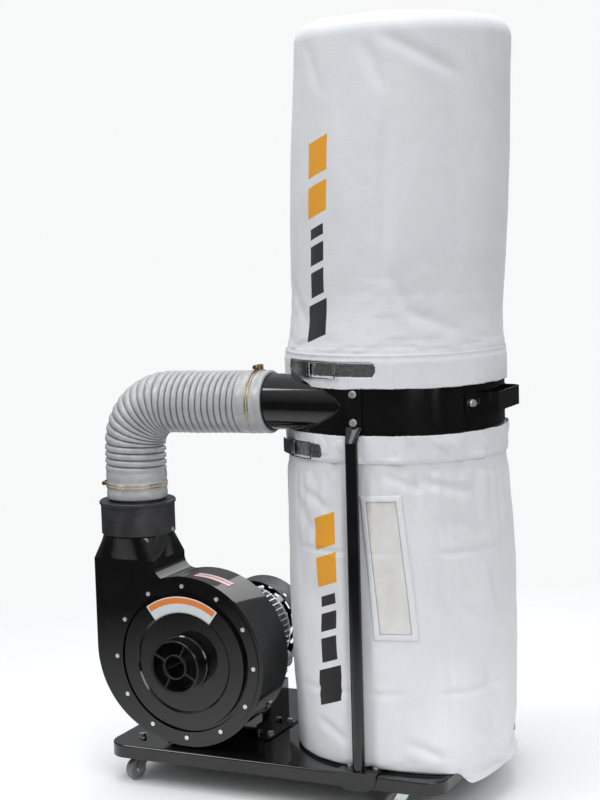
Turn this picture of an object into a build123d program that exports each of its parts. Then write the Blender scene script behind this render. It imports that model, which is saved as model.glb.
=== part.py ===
from build123d import *
from math import cos, degrees, hypot, radians, sin, sqrt
import os

# Single-bag dust collector. Millimetres, +Z up, the floor at z = 0.
# X runs along the base from the blower to the bags, and -Y is the side that the blower inlet faces.
# Everything is drawn about the upright axis of the drum ring and moved to the box's bottom centre at the end.

# ---------------------------------------------------------------- driving dimensions
# Base tray
base_left = -642.0
base_right = 196.0
base_post_margin = 16.5
base_skirt = 31.6
base_sheet = 2.0
base_corner_r = 50.0
base_edge_r = 5.0

# Casters
caster_xs = (-580.0, 95.0)
caster_inset = 69.5
wheel_r = 25.0
wheel_width = 20.0
wheel_bore_clearance = 0.05
axle_r = 4.0
caster_trail = 26.0
stem_r = 5.0
fork_sheet = 2.0
fork_crown_gap = 10.0
caster_spacer = 35.0
fork_plate_r = 18.0
fork_side_gap = 1.5
swivel_rest = {"front_left": 253.0, "front_right": 205.0, "rear_left": 118.0, "rear_right": 62.0}

# Drum ring and its inlet
ring_r = 247.0
ring_wall = 1.5
ring_lift = 680.0
ring_bead_r = 3.0
hose_size_r = 62.5
tube_wall = 1.5
tube_hem_gap = 2.5
tube_rim_gap = 40.5
tube_inset = 65.0
tube_length_out = 38.0

# Bags, their hems and clamp bands
bag_cloth = 1.5
bag_slip = 0.3
mouth_overcut = 5.0
filter_hem_drop = 63.0
filter_lean = 31.0
filter_height = 755.0
collection_hem_rise = 62.0
collection_floor_gap = 0.3
droop_depth = 43.0
droop_gap = 4.0
band_thick = 1.2
band_height = 28.0
band_gap = 0.2
upper_band_drop = 24.0
lower_band_rise = 25.0

# Window in the collection bag
window_gap = 0.3
window_thick = 0.8
window_corners = ((22.0, 695.0), (95.0, 700.0), (113.0, 403.0), (40.0, 403.0))

# Over-centre latches: angles run round the ring from -Y towards +X
upper_latch_angle = -25.5
lower_latch_angle = -42.0
latch_pin_r = 2.0
latch_pin_height = 7.0
latch_play = 0.05
lever_half_width = 16.0
lever_sheet = 1.6
lever_sweep = 14.5
lever_skin_height = 11.0
bail_wire_r = 1.6
bail_sweep = 19.5
bail_pin_back = 3.0
bail_pin_height = 8.5
keeper_flange = 2.6

# Posts
post_r = 14.0
post_wall = 1.8
post_tab_width = 39.0
post_tab_thick = 4.0
post_tab_rise = 81.0
post_tab_gap = 1.5
post_neck_length = 30.0
post_bolt_inset = 11.5
post_clearance = 0.8
foot_half_width = 48.0
foot_thick = 4.0
foot_drop = 38.0
foot_corner_r = 34.0
foot_bolt_x = 30.0
foot_bolt_inset = 41.5

# Ring handle
handle_height = 42.0
handle_thick = 4.0
handle_rise = 125.0
handle_angle = 27.0
handle_pad = 9.0
handle_stand_off = 23.0
handle_half_grip = 91.0
handle_bend_r = 26.0
handle_root_r = 3.0

# Blower
blower_x = -433.0
shaft_lift = 206.5
housing_front = -258.0
housing_depth = 146.0
housing_sheet = 2.0
wrap_r = 193.0
scroll_r = 213.0
scroll_shift_x = -20.0
scroll_shift_z = 21.0
rim_r = 200.0
rim_thick = 4.0
duct_right_inset = 73.0
duct_rise = 229.5
duct_fillet_r = 30.0
neck_r = 83.0
neck_taper = 52.0
neck_straight = 19.0
cover_opening_r = 166.0
cover_r = 189.0
cover_sheet = 2.0
cover_screw_r = 178.0
cover_screw_count = 12
cover_dish_r = 120.0
cover_land = 6.0
cover_groove_depth = 7.0
inlet_length = 49.0
inlet_wall = 2.0
guard_slip = 0.2
guard_depth = 8.0
guard_web = 1.8
guard_hub_r = 28.5

# Outlet collar and hose
collar_r = 86.6
collar_wall = 3.0
collar_overlap = 15.0
collar_height = 76.0
collar_lip = 3.0
spigot_length = 72.0
hose_wall = 6.5
hose_slip = 0.5
hose_seat_gap = 5.0
hose_bend_r = 103.0
hose_end_gap = 6.1
hose_rise = 12.0
clamp_wire_r = 1.5
clamp_spacing = 7.0
lower_clamp_rise = 32.0
upper_clamp_inset = 32.0

# Motor
bell_front_length = 20.0
motor_frame_length = 170.0
bell_back_length = 20.0
frame_skin_r = 84.0
frame_wall = 8.0
fin_height = 25.0
front_bell_r = 96.0
fin_count = 48
fin_thick = 2.6
cowl_r = 115.5
cowl_wall = 2.0
cowl_length = 86.0
cowl_edge_r = 18.0
shaft_r = 12.0
shaft_play = 0.05
bearing_r = 26.0
bearing_width = 15.0
rotor_r = 45.0
air_gap = 0.6
winding_room = 36.0
impeller_r = 152.0
impeller_back_gap = 14.0
impeller_plate = 3.0
blade_width = 82.0
blade_count = 8
blade_thick = 2.5
eye_r = 58.0
fan_r = 88.0
fan_gap = 14.0
fan_width = 34.0
fan_blades = 8

# Motor stand
motor_foot_drop = 101.5
stand_half_width = 122.0
stand_sheet = 4.0
stand_front = -139.0
stand_step = -106.0
stand_step_rise = 35.0
stand_back = 32.0
stand_flange = 28.0
stand_bolt_ys = (-101.5, 6.0)
stand_bolt_out = 15.0
foot_pad_x = 80.0
foot_bolt_ys = (-70.0, 45.0)

# Terminal box and switch on the motor's far side
box_depth = 46.0
box_front = -30.0
box_back = 62.0
box_below_shaft = 39.5
box_above_shaft = 40.5
box_wall = 2.5
lid_thick = 3.0
rocker_half_length = 11.0
rocker_half_width = 7.0
rocker_gap = 0.8
rocker_tilt = 8.0
rocker_pin_r = 1.2
rocker_pin_play = 0.05

# Capacitor on the motor's bag side
capacitor_angle = -28.0
capacitor_r = 20.0
capacitor_length = 96.0
capacitor_cover_wall = 1.5
capacitor_cover_gap = 2.0
capacitor_mid_y = -12.0
capacitor_stand_off = 14.0

# Fasteners
m8_r = 4.0
m5_r = 2.5
hole_slack = 0.3

# ---------------------------------------------------------------- derived values
fork_top_z = 2 * wheel_r + fork_crown_gap
base_top = fork_top_z + caster_spacer
ring_bottom = base_top + ring_lift
tube_axis_rise = collection_hem_rise + tube_hem_gap + hose_size_r
ring_height = tube_axis_rise + hose_size_r + tube_rim_gap
shaft_z = base_top + shaft_lift
duct_right = blower_x - duct_right_inset
stand_top = shaft_z - motor_foot_drop
stand_step_z = base_top + stand_step_rise
box_bottom = shaft_z - box_below_shaft
box_top = shaft_z + box_above_shaft
ring_top = ring_bottom + ring_height
filter_top = ring_top + filter_height
filter_hem_bottom = ring_top - filter_hem_drop
collection_hem_top = ring_bottom + collection_hem_rise
upper_band_z = ring_top - upper_band_drop
lower_band_z = ring_bottom + lower_band_rise
tube_axis_z = ring_bottom + tube_axis_rise
tube_start_x = -(ring_r + tube_length_out)
post_tab_bottom = ring_bottom + post_tab_rise
post_tab_top = filter_hem_bottom - post_tab_gap
post_bolt_z = (post_tab_bottom + post_bolt_inset, post_tab_top - post_bolt_inset)
handle_z = ring_bottom + handle_rise
handle_reach = ring_r + handle_stand_off
housing_back = housing_front + housing_depth
duct_top = shaft_z + duct_rise
neck_bottom = duct_top + neck_taper
neck_top = neck_bottom + neck_straight
collar_bottom = neck_top - collar_overlap
collar_top = collar_bottom + collar_height
hose_bottom = collar_top + hose_seat_gap
frame_bore_r = frame_skin_r - frame_wall
fin_tip_r = frame_skin_r + fin_height
motor_frame_front = housing_back + bell_front_length
motor_frame_back = motor_frame_front + motor_frame_length
motor_bell_back = motor_frame_back + bell_back_length
cowl_back = motor_bell_back + cowl_length
impeller_back = housing_back - impeller_back_gap
fan_front = motor_bell_back + fan_gap
hem_inner_r = ring_r + bag_slip
hem_outer_r = hem_inner_r + bag_cloth
band_inner_r = hem_outer_r + band_gap
band_r = band_inner_r + band_thick
post_y = band_r + post_clearance + post_r
base_half_depth = post_y + base_post_margin
caster_y = base_half_depth - caster_inset
foot_bolt_y = base_half_depth - foot_bolt_inset
tube_axis_y = -(ring_r - tube_inset)
duct_left = blower_x + scroll_shift_x - scroll_r
duct_mid_x = (duct_left + duct_right) / 2
duct_mid_y = (housing_front + housing_back) / 2
inlet_mouth = housing_front - cover_sheet - inlet_length
hose_inner_r = hose_size_r + hose_slip
hose_outer_r = hose_inner_r + hose_wall
hose_end_x = -sqrt(ring_r ** 2 - (tube_axis_y + hose_outer_r) ** 2) - hose_end_gap
lower_clamp_z = hose_bottom + lower_clamp_rise
upper_clamp_x = hose_end_x - upper_clamp_inset
fork_half_gap = wheel_width / 2 + fork_side_gap
capacitor_cover_r = capacitor_r + capacitor_cover_gap + capacitor_cover_wall
box_inner_x = blower_x - frame_skin_r
box_outer_x = box_inner_x - box_depth
box_mid_y = (box_front + box_back) / 2
switch_z = box_top - 22.0
cowl_screw_y = motor_bell_back + 8.0


# ---------------------------------------------------------------- helpers
def block(x0, x1, y0, y1, z0, z1):
    return Pos((x0 + x1) / 2, (y0 + y1) / 2, (z0 + z1) / 2) * Box(x1 - x0, y1 - y0, z1 - z0)


def rod(start, direction, length, radius):
    plane = Plane(origin=start, z_dir=direction)
    return extrude(plane * Circle(radius), amount=length)


def hex_prism(start, direction, length, across_flats):
    plane = Plane(origin=start, z_dir=direction)
    return extrude(plane * RegularPolygon(across_flats / 2, 6, major_radius=False), amount=length)


def along_y(sketch, y0, y1):
    """Extrudes a sketch drawn in (X, Z) from y0 to y1."""
    return Pos(0, y1, 0) * extrude(Plane.XZ * sketch, amount=y1 - y0)


def polygon(points):
    return make_face(Polyline(*points, close=True))


def turned(points):
    """Turns a (radius, y) outline about the blower's shaft."""
    return Pos(blower_x, 0, shaft_z) * revolve(polygon(points), Axis.Y)


def around_ring(angle, radius, z):
    """A point at an angle round the drum, measured from -Y towards +X."""
    return Vector(radius * sin(radians(angle)), -radius * cos(radians(angle)), z)


def sector(r0, r1, z0, z1, angle0, angle1):
    profile = Plane.XZ * Pos((r0 + r1) / 2, (z0 + z1) / 2) * Rectangle(r1 - r0, z1 - z0)
    return Rot(0, 0, angle0 - 90) * revolve(profile, Axis.Z, revolution_arc=angle1 - angle0)


def upright_tube(outer_r, inner_r, z0, z1):
    return Pos(0, 0, z0) * extrude(Circle(outer_r) - Circle(inner_r), amount=z1 - z0)


def group(solids):
    return Compound(list(solids))


def bolt(seat, direction, radius, reach):
    """A hexagon bolt: its washer and head stand out of the seat, and its shank goes back by reach."""
    out = Vector(*direction)
    seat = Vector(*seat)
    washer = rod(seat, out, radius * 0.4, radius * 2.1)
    head = hex_prism(seat + out * radius * 0.4, out, radius * 1.3, radius * 3.3)
    shank = rod(seat - out * reach, out, reach, radius)
    return washer + head + shank


def pan_screw(seat, direction, radius, reach):
    out = Vector(*direction)
    seat = Vector(*seat)
    head = rod(seat, out, radius * 1.1, radius * 2.0)
    slot = rod(seat + out * radius * 0.6, out, radius, radius * 0.7)
    shank = rod(seat - out * reach, out, reach, radius)
    return head - slot + shank


# ---------------------------------------------------------------- base
def tray_outline(inset):
    length = base_right - base_left - 2 * inset
    depth = 2 * base_half_depth - 2 * inset
    return RectangleRounded(length, depth, base_corner_r - inset)


def foot_bolt_places():
    return [(sx * foot_bolt_x, sy * foot_bolt_y) for sy in (-1, 1) for sx in (-1, 1)]


def stand_bolt_places():
    out = stand_half_width + stand_bolt_out
    return [(blower_x + side * out, y) for side in (-1, 1) for y in stand_bolt_ys]


def caster_places():
    names = {}
    for x, end in zip(caster_xs, ("left", "right")):
        names["front_" + end] = (x, -caster_y)
        names["rear_" + end] = (x, caster_y)
    return names


def make_base():
    mid_x = (base_left + base_right) / 2
    bottom = base_top - base_skirt
    outer = Pos(mid_x, 0, bottom) * extrude(tray_outline(0), amount=base_skirt)
    outer = fillet(outer.edges().group_by(Axis.Z)[-1], base_edge_r)
    inner = Pos(mid_x, 0, bottom) * extrude(tray_outline(base_sheet), amount=base_skirt - base_sheet)
    inner = fillet(inner.edges().group_by(Axis.Z)[-1], base_edge_r - base_sheet)
    tray = outer - inner
    for x, y in caster_places().values():
        tray -= rod((x, y, bottom), (0, 0, 1), base_skirt, stem_r + hole_slack)
    for x, y in foot_bolt_places() + stand_bolt_places():
        tray -= rod((x, y, bottom), (0, 0, 1), base_skirt, m8_r + hole_slack)
    return tray


# ---------------------------------------------------------------- casters
def make_caster_stem(x, y):
    plate_under = base_top - base_sheet
    spacer = hex_prism((x, y, fork_top_z + 0.5), (0, 0, 1), plate_under - fork_top_z - 0.5, 17)
    pin = rod((x, y, fork_top_z - 5), (0, 0, 1), 5.5, stem_r)
    rivet = rod((x, y, fork_top_z - 7), (0, 0, 1), 2, stem_r + 2.5)
    thread = rod((x, y, plate_under), (0, 0, 1), base_sheet + 10, stem_r)
    return spacer + pin + rivet + thread


def make_caster_nut(x, y):
    bore = rod((x, y, base_top - 1), (0, 0, 1), 30, stem_r)
    washer = rod((x, y, base_top), (0, 0, 1), 1.6, stem_r * 2.1)
    nut = hex_prism((x, y, base_top + 1.6), (0, 0, 1), 7, 17)
    return washer + nut - bore


def axle_centre(x, y, swivel):
    return Vector(x + caster_trail * cos(radians(swivel)), y + caster_trail * sin(radians(swivel)), wheel_r)


def caster_place(x, y, swivel):
    """Local x points from the stem to the axle, local y along the axle."""
    return Location((x, y, 0), (0, 0, swivel))


def make_fork(x, y, swivel):
    under = fork_top_z - fork_sheet
    plate = Pos(0, 0, under) * extrude(Circle(fork_plate_r), amount=fork_sheet)
    half = fork_half_gap
    plate += block(-4, caster_trail - 8, -half - fork_sheet, half + fork_sheet, under, fork_top_z)
    cheek_points = ((-fork_plate_r + 3, fork_top_z), (fork_plate_r - 1, fork_top_z),
                    (caster_trail + 8, wheel_r + 6), (caster_trail + 8, wheel_r - 7),
                    (caster_trail - 8, wheel_r - 7))
    cheek = make_face(Polyline(*cheek_points, close=True))
    cheek = fillet(cheek.vertices().sort_by(Axis.Y)[:2], 6)
    for side in (-1, 1):
        inner = side * half
        outer = side * (half + fork_sheet)
        plate += along_y(cheek, min(inner, outer), max(inner, outer))
    plate -= rod((0, 0, under - 1), (0, 0, 1), fork_sheet + 2, stem_r + 0.05)
    plate -= rod((caster_trail, -half - 5, wheel_r), (0, 1, 0), 2 * half + 10, axle_r + 0.05)
    axle = rod((caster_trail, -half - fork_sheet - 1.5, wheel_r), (0, 1, 0),
               2 * (half + fork_sheet + 1.5), axle_r)
    for side in (-1, 1):
        seat = Vector(caster_trail, side * (half + fork_sheet), wheel_r)
        axle += hex_prism(seat, (0, side, 0), 3.2, 11)
    return caster_place(x, y, swivel) * group([plate, axle])


def make_wheel(x, y, swivel):
    half = wheel_width / 2
    tyre_points = ((wheel_r - 3, half), (wheel_r - 1, half - 1.5), (wheel_r, half - 4), (wheel_r, 4 - half),
                   (wheel_r - 1, 1.5 - half), (wheel_r - 3, -half))
    bore = axle_r + wheel_bore_clearance
    outline = [(bore, -half - 1), (8.5, -half - 1), (9.5, -half + 2.5), (18, -half + 2.5), (19, -half)]
    outline += [(r, y_) for r, y_ in reversed(tyre_points)]
    outline += [(19, half), (18, half - 2.5), (9.5, half - 2.5), (8.5, half + 1), (bore, half + 1)]
    wheel = revolve(polygon(outline), Axis.Y)
    return caster_place(x, y, swivel) * Pos(caster_trail, 0, wheel_r) * wheel


# ---------------------------------------------------------------- drum ring, tube, handle, posts
def post_bolt_places():
    return [(0, side, z) for side in (-1, 1) for z in post_bolt_z]


def make_ring():
    ring = upright_tube(ring_r, ring_r - ring_wall, ring_bottom, ring_top)
    for z in (ring_bottom + ring_bead_r, ring_top - ring_bead_r):
        ring += Pos(0, 0, z) * Torus(ring_r - ring_bead_r, ring_bead_r)
    ring -= rod((-ring_r - 50, tube_axis_y, tube_axis_z), (1, 0, 0), ring_r + 50, hose_size_r - tube_wall)
    for _, side, z in post_bolt_places():
        ring -= rod((0, 0, z), (0, side, 0), ring_r + 5, m8_r + hole_slack)
    for side in (-1, 1):
        out = around_ring(90 + side * handle_angle, 1, 0)
        ring -= rod((0, 0, handle_z), out, ring_r + 5, m8_r + hole_slack)
    return ring


def make_inlet_tube():
    start = (tube_start_x, tube_axis_y, tube_axis_z)
    length = -tube_start_x
    tube = rod(start, (1, 0, 0), length, hose_size_r) - rod(start, (1, 0, 0), length, hose_size_r - tube_wall)
    return tube - Pos(0, 0, tube_axis_z) * Cylinder(ring_r + 0.05, 3 * hose_size_r)


def handle_line():
    pad_end = 90 - handle_angle - handle_pad / 2
    pad_start = 90 - handle_angle + handle_pad / 2
    seat_r = ring_r + handle_thick / 2 + 0.1
    points = [around_ring(pad_end, seat_r, 0), around_ring(pad_start, seat_r, 0),
              Vector(handle_reach - handle_thick / 2, -handle_half_grip, 0)]
    points += [Vector(p.X, -p.Y, 0) for p in reversed(points)]
    return FilletPolyline(*points, radius=[handle_root_r, handle_bend_r, handle_bend_r, handle_root_r])


def make_handle():
    line = handle_line()
    section = Plane(origin=line @ 0, x_dir=(0, 0, 1), z_dir=line % 0) * Rectangle(handle_height, handle_thick)
    strap = Pos(0, 0, handle_z) * sweep(section, path=line, transition=Transition.RIGHT)
    for side in (-1, 1):
        out = around_ring(90 + side * handle_angle, 1, 0)
        strap -= rod((0, 0, handle_z), out, ring_r + 20, m8_r + hole_slack)
    return strap - Pos(0, 0, handle_z) * Cylinder(ring_r + 0.05, 2 * handle_height)


def make_handle_bolts():
    bolts = []
    for side in (-1, 1):
        out = around_ring(90 + side * handle_angle, 1, 0)
        seat = out * (ring_r + handle_thick + 0.6) + Vector(0, 0, handle_z)
        bolts.append(bolt(seat, out, m8_r, handle_thick + ring_wall + 7))
    return group(bolts)


def make_post(side):
    """Drawn for the -Y side: side -1 keeps it there, side 1 turns it to +Y."""
    foot_top = base_top + foot_thick
    neck_bottom_z = post_tab_bottom - post_neck_length
    post = Pos(0, -post_y, foot_top) * extrude(Circle(post_r) - Circle(post_r - post_wall),
                                               amount=neck_bottom_z - foot_top)
    tab_y = -(ring_r + 0.1 + post_tab_thick / 2)
    neck_start = Pos(0, -post_y, neck_bottom_z) * Circle(post_r)
    neck_end = Pos(0, tab_y, post_tab_bottom + 2) * Ellipse(post_tab_width / 2, post_tab_thick / 2)
    post += loft([neck_start, neck_end])
    tab = Pos(0, tab_y, post_tab_bottom) * extrude(RectangleRounded(post_tab_width, post_tab_thick, 1.2),
                                                   amount=post_tab_top - post_tab_bottom)
    post += tab
    front = -(base_half_depth + foot_thick + 0.1)
    back = -foot_bolt_y + 13
    flange = block(-foot_half_width, foot_half_width, front, back, base_top, foot_top)
    drop = polygon(((-foot_half_width, foot_top), (foot_half_width, foot_top),
                    (foot_half_width, foot_top - foot_drop - foot_thick),
                    (-foot_half_width, foot_top - foot_drop - foot_thick)))
    drop = fillet(drop.vertices().sort_by(Axis.Y)[:2], foot_corner_r)
    post += flange + along_y(drop, front, front + foot_thick)
    for x in (-foot_bolt_x, foot_bolt_x):
        post -= rod((x, -foot_bolt_y, base_top - 1), (0, 0, 1), foot_thick + 2, m8_r + hole_slack)
    for z in post_bolt_z:
        post -= rod((0, 0, z), (0, -1, 0), post_y + 20, m8_r + hole_slack)
    if side > 0:
        post = Rot(0, 0, 180) * post
    return post


def make_post_top_bolts():
    seat = ring_r + 0.1 + post_tab_thick
    return group(bolt((0, side * seat, z), (0, side, 0), m8_r, post_tab_thick + ring_wall + 7)
                 for _, side, z in post_bolt_places())


def make_post_foot_bolts():
    seat_z = base_top + foot_thick
    return group(bolt((x, y, seat_z), (0, 0, 1), m8_r, foot_thick + base_sheet + 8)
                 for x, y in foot_bolt_places())


# ---------------------------------------------------------------- bags
def lofted(sections, grow):
    """Sections are (z, half width in X, half width in Y, centre X)."""
    faces = [Pos(mid, 0, z) * Ellipse(half_x + grow, half_y + grow) for z, half_x, half_y, mid in sections]
    return loft(faces, ruled=True)


def filter_sections(mouth_drop, end_drop):
    r = hem_outer_r
    lean = filter_lean
    return ((filter_hem_bottom - mouth_drop, r, r, 0), (ring_top + 12, r, r, 0),
            (ring_top + 90, r - 5, r - 5, 0.15 * lean), ((ring_top + filter_top) / 2, r - 6, r - 6, 0.52 * lean),
            (filter_top - 95, r - 5, r - 5, 0.9 * lean), (filter_top - 45, r - 8, r - 8, 0.96 * lean),
            (filter_top - 18, r - 28, r - 28, lean), (filter_top - end_drop, r - 85, r - 85, lean))


def make_filter_bag():
    bag = lofted(filter_sections(0, 0), 0) - lofted(filter_sections(mouth_overcut, 2 * bag_cloth), -bag_cloth)
    notch_r = hose_size_r + 3
    notch = rod((-ring_r - 60, tube_axis_y, tube_axis_z), (1, 0, 0), ring_r + 40, notch_r)
    return bag - notch


def collection_sections(mouth_rise, lift):
    r = hem_outer_r
    floor = base_top + collection_floor_gap
    return ((collection_hem_top + mouth_rise, r, r, 0), (ring_bottom - 8, r, r, 0),
            (ring_bottom - 70, r + 6, r - 0.3, 3), (ring_bottom - 215, r + 12, r - 0.5, 8),
            ((ring_bottom + base_top) / 2 - 75, r + 15, r - 1, 10), (floor + 85, r + 12, r - 2, 10),
            (floor + 30, r + 2, r - 10, 5), (floor + 12, r - 14, r - 30, 2), (floor + lift, r - 38, r - 52, 0))


def droop_sections(lift):
    r = hem_outer_r
    bottom = base_top - droop_depth
    return ((base_top + 55, r + 2, r - 10, 8), (base_top + 15, r + 8, r - 8, 8),
            (base_top - 25, r - 2, r - 18, 4), (bottom + lift, r - 30, r - 50, 0))


def collection_solid(grow, mouth_rise, lift):
    """The bag stands on the tray and sags over the tray's end."""
    edge = base_right + droop_gap - grow
    beyond = block(edge, edge + ring_r, -2 * ring_r, 2 * ring_r, base_top - 2 * droop_depth, base_top + 55)
    droop = lofted(droop_sections(lift), grow) & beyond
    return lofted(collection_sections(mouth_rise, lift), grow) + droop


def make_collection_bag():
    return collection_solid(0, 0, 0) - collection_solid(-bag_cloth, mouth_overcut, 2 * bag_cloth)


def make_window():
    sections = collection_sections(0, 0)
    skin = lofted(sections, window_gap + window_thick) - lofted(sections, window_gap)
    cut = along_y(polygon(window_corners), -2 * ring_r, 0)
    return skin & cut


# ---------------------------------------------------------------- bag clamps and their latches
def latch_pivot(angle, z):
    return around_ring(angle, band_r + latch_pin_height, z)


def bail_pivot(angle, z):
    return around_ring(angle - bail_pin_back, band_r + bail_pin_height, z)


def make_band(angle, z, tail):
    """The band, the pivot ears with their pin, and the keeper that the bail hooks on."""
    half = band_height / 2
    band = sector(band_inner_r, band_r, z - half, z + half, angle - 20, angle + 339)
    ear_outer = lever_half_width - lever_sheet - 0.5
    ears = sector(band_r - 0.1, band_r + 1.5, z - ear_outer, z + ear_outer, angle - 5, angle + 2.5)
    pin_at = latch_pivot(angle, z)
    for side in (-1, 1):
        low = min(side * ear_outer, side * (ear_outer - 1.6))
        ear = sector(band_r, band_r + latch_pin_height, z + low, z + low + 1.6, angle - 0.85, angle + 0.85)
        ear += rod((pin_at.X, pin_at.Y, z + low), (0, 0, 1), 1.6, 3.8)
        ears += ear
    ears += rod((pin_at.X, pin_at.Y, z - lever_half_width - 0.4), (0, 0, 1), 2 * lever_half_width + 0.8,
                latch_pin_r)
    keeper_at = angle - bail_pin_back + bail_sweep
    wire = degrees(bail_wire_r / band_r)
    thick = degrees(keeper_flange / band_r)
    face = keeper_at - wire - 0.25
    keeper = sector(band_r - 0.1, band_r + 1.5, z - 13, z + 13, face - thick - 1.5, keeper_at + tail)
    keeper += sector(band_r, band_r + 10, z - 9, z + 9, face - thick, face)
    return band + ears + keeper


def make_lever(angle, z):
    skin_in = band_r + lever_skin_height
    half = lever_half_width
    pin_at = latch_pivot(angle, z)
    bail_at = bail_pivot(angle, z)
    lever = sector(skin_in, skin_in + lever_sheet, z - half, z + half, angle - lever_sweep, angle - 0.4)
    lever += sector(skin_in - 2, skin_in + lever_sheet, z - half * 0.6, z + half * 0.6,
                    angle - lever_sweep - 0.5, angle - lever_sweep)
    for side in (-1, 1):
        low = min(side * half, side * (half - lever_sheet))
        cheek = sector(band_r + 3.2, skin_in + 0.1, z + low, z + low + lever_sheet, angle - 7, angle)
        cheek += rod((pin_at.X, pin_at.Y, z + low), (0, 0, 1), lever_sheet, 5.2)
        lever += cheek
    lever -= rod((pin_at.X, pin_at.Y, z - half - 1), (0, 0, 1), 2 * half + 2, latch_pin_r + latch_play)
    lever -= rod((bail_at.X, bail_at.Y, z - half - 1), (0, 0, 1), 2 * half + 2, bail_wire_r + latch_play)
    return lever


def make_bail(angle, z):
    wire_r = band_r + bail_pin_height
    start = angle - bail_pin_back
    offset = lever_half_width + 0.6 + bail_wire_r
    bail = rod(around_ring(start + bail_sweep, wire_r, z - offset), (0, 0, 1), 2 * offset, bail_wire_r)
    profile = Plane.XZ * Pos(wire_r, z) * Circle(bail_wire_r)
    arc = Rot(0, 0, start - 90) * revolve(profile, Axis.Z, revolution_arc=bail_sweep)
    inner_end = lever_half_width - lever_sheet - 0.3
    for side in (-1, 1):
        bail += Pos(0, 0, side * offset) * arc
        at = around_ring(start, wire_r, z + side * inner_end)
        bail += rod(at, (0, 0, side), offset - inner_end, bail_wire_r)
        for end in (start, start + bail_sweep):
            corner = around_ring(end, wire_r, z + side * offset)
            bail += Pos(corner.X, corner.Y, corner.Z) * Sphere(bail_wire_r)
    return bail


# ---------------------------------------------------------------- blower
def volute(grow):
    """The scroll and its duct in (X, Z), grown outwards by grow."""
    wrap = Pos(blower_x, shaft_z) * Circle(wrap_r + grow)
    scroll = Pos(blower_x + scroll_shift_x, shaft_z + scroll_shift_z) * Circle(scroll_r + grow)
    left = duct_left - grow
    right = duct_right + grow
    low = shaft_z + scroll_shift_z
    under = Pos((left + blower_x) / 2, low - scroll_r) * Rectangle(blower_x - left, 2 * scroll_r)
    duct = Pos((left + right) / 2, (low + duct_top) / 2) * Rectangle(right - left, duct_top - low)
    outline = wrap + (scroll & under) + duct
    corner = outline.vertices().filter_by(lambda v: abs(v.X - right) < 0.1 and low < v.Y < duct_top - 1)
    return fillet(corner, duct_fillet_r - grow)


def neck(grow):
    mouth = Pos(duct_mid_x, duct_mid_y, duct_top) * Rectangle(duct_right - duct_left + 2 * grow,
                                                              housing_back - housing_front + 2 * grow)
    round_end = Pos(duct_mid_x, duct_mid_y, neck_bottom) * Circle(neck_r + grow)
    taper = loft([mouth, round_end])
    straight = Pos(duct_mid_x, duct_mid_y, neck_bottom) * extrude(Circle(neck_r + grow),
                                                                  amount=neck_top - neck_bottom)
    return taper + straight


def make_housing():
    outer = along_y(volute(0), housing_front, housing_back) + neck(0)
    rim_points = ((cover_opening_r, housing_front), (rim_r, housing_front), (rim_r, housing_front + rim_thick),
                  (cover_opening_r, housing_front + rim_thick))
    hollow = along_y(volute(-housing_sheet), housing_front + housing_sheet, housing_back - housing_sheet)
    shell = outer - hollow - neck(-housing_sheet)
    duct_hole = block(duct_left + housing_sheet, duct_right - housing_sheet, housing_front + housing_sheet,
                      housing_back - housing_sheet, duct_top - 2 * housing_sheet, duct_top + 0.01)
    shell -= duct_hole
    shell -= Pos(0, 0, 0.5) * neck(-housing_sheet)
    shell += turned(rim_points)
    shell -= turned(((0, housing_front - 1), (cover_opening_r, housing_front - 1),
                     (cover_opening_r, housing_front + rim_thick + 1), (0, housing_front + rim_thick + 1)))
    shell -= turned(((0, housing_back - 5), (shaft_r + 12, housing_back - 5), (shaft_r + 12, housing_back + 1),
                     (0, housing_back + 1)))
    for x, z in cover_screw_places():
        shell -= rod((x, housing_front - 1, z), (0, 1, 0), rim_thick + 2, m5_r + 0.01)
    for x, y in collar_screw_places(neck_r):
        shell -= rod((duct_mid_x, duct_mid_y, (collar_bottom + neck_top) / 2),
                     (x - duct_mid_x, y - duct_mid_y, 0), neck_r + 5, m5_r + 0.01)
    for x, z in flange_bolt_places():
        shell -= rod((x, housing_back - 5, z), (0, 1, 0), 6, m8_r + hole_slack)
    return shell


def cover_screw_places():
    step = 360 / cover_screw_count
    return [(blower_x + cover_screw_r * sin(radians(i * step)), shaft_z + cover_screw_r * cos(radians(i * step)))
            for i in range(cover_screw_count)]


def flange_bolt_places():
    return [(blower_x + 66 * cos(radians(a)), shaft_z + 66 * sin(radians(a))) for a in (45, 135, 225, 315)]


def make_cover():
    front = housing_front - cover_sheet
    groove_r = cover_opening_r - 1
    dish = front - 1.5
    land = front - cover_land
    floor = front + cover_groove_depth
    outline = [(hose_size_r - inlet_wall, dish), (cover_dish_r - 5, dish), (cover_dish_r, land),
               (groove_r - 10, land), (groove_r - 8, floor), (groove_r - 2, floor), (groove_r, front),
               (cover_r, front)]
    back = [(r, y + cover_sheet) for r, y in reversed(outline)]
    cover = turned(outline + back)
    for x, z in cover_screw_places():
        cover -= rod((x, front - 1, z), (0, 1, 0), cover_sheet + 2, m5_r + 0.01)
    return cover


def make_inlet_pipe():
    back = housing_front - cover_sheet - 1.5
    front = inlet_mouth
    inner = hose_size_r - inlet_wall
    return turned(((inner, front), (hose_size_r - 0.6, front), (hose_size_r, front + 0.8), (hose_size_r, back - 10),
                   (hose_size_r + 2.5, back - 8), (hose_size_r + 2.5, back - 6), (hose_size_r, back - 4),
                   (hose_size_r, back), (inner, back)))


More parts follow.
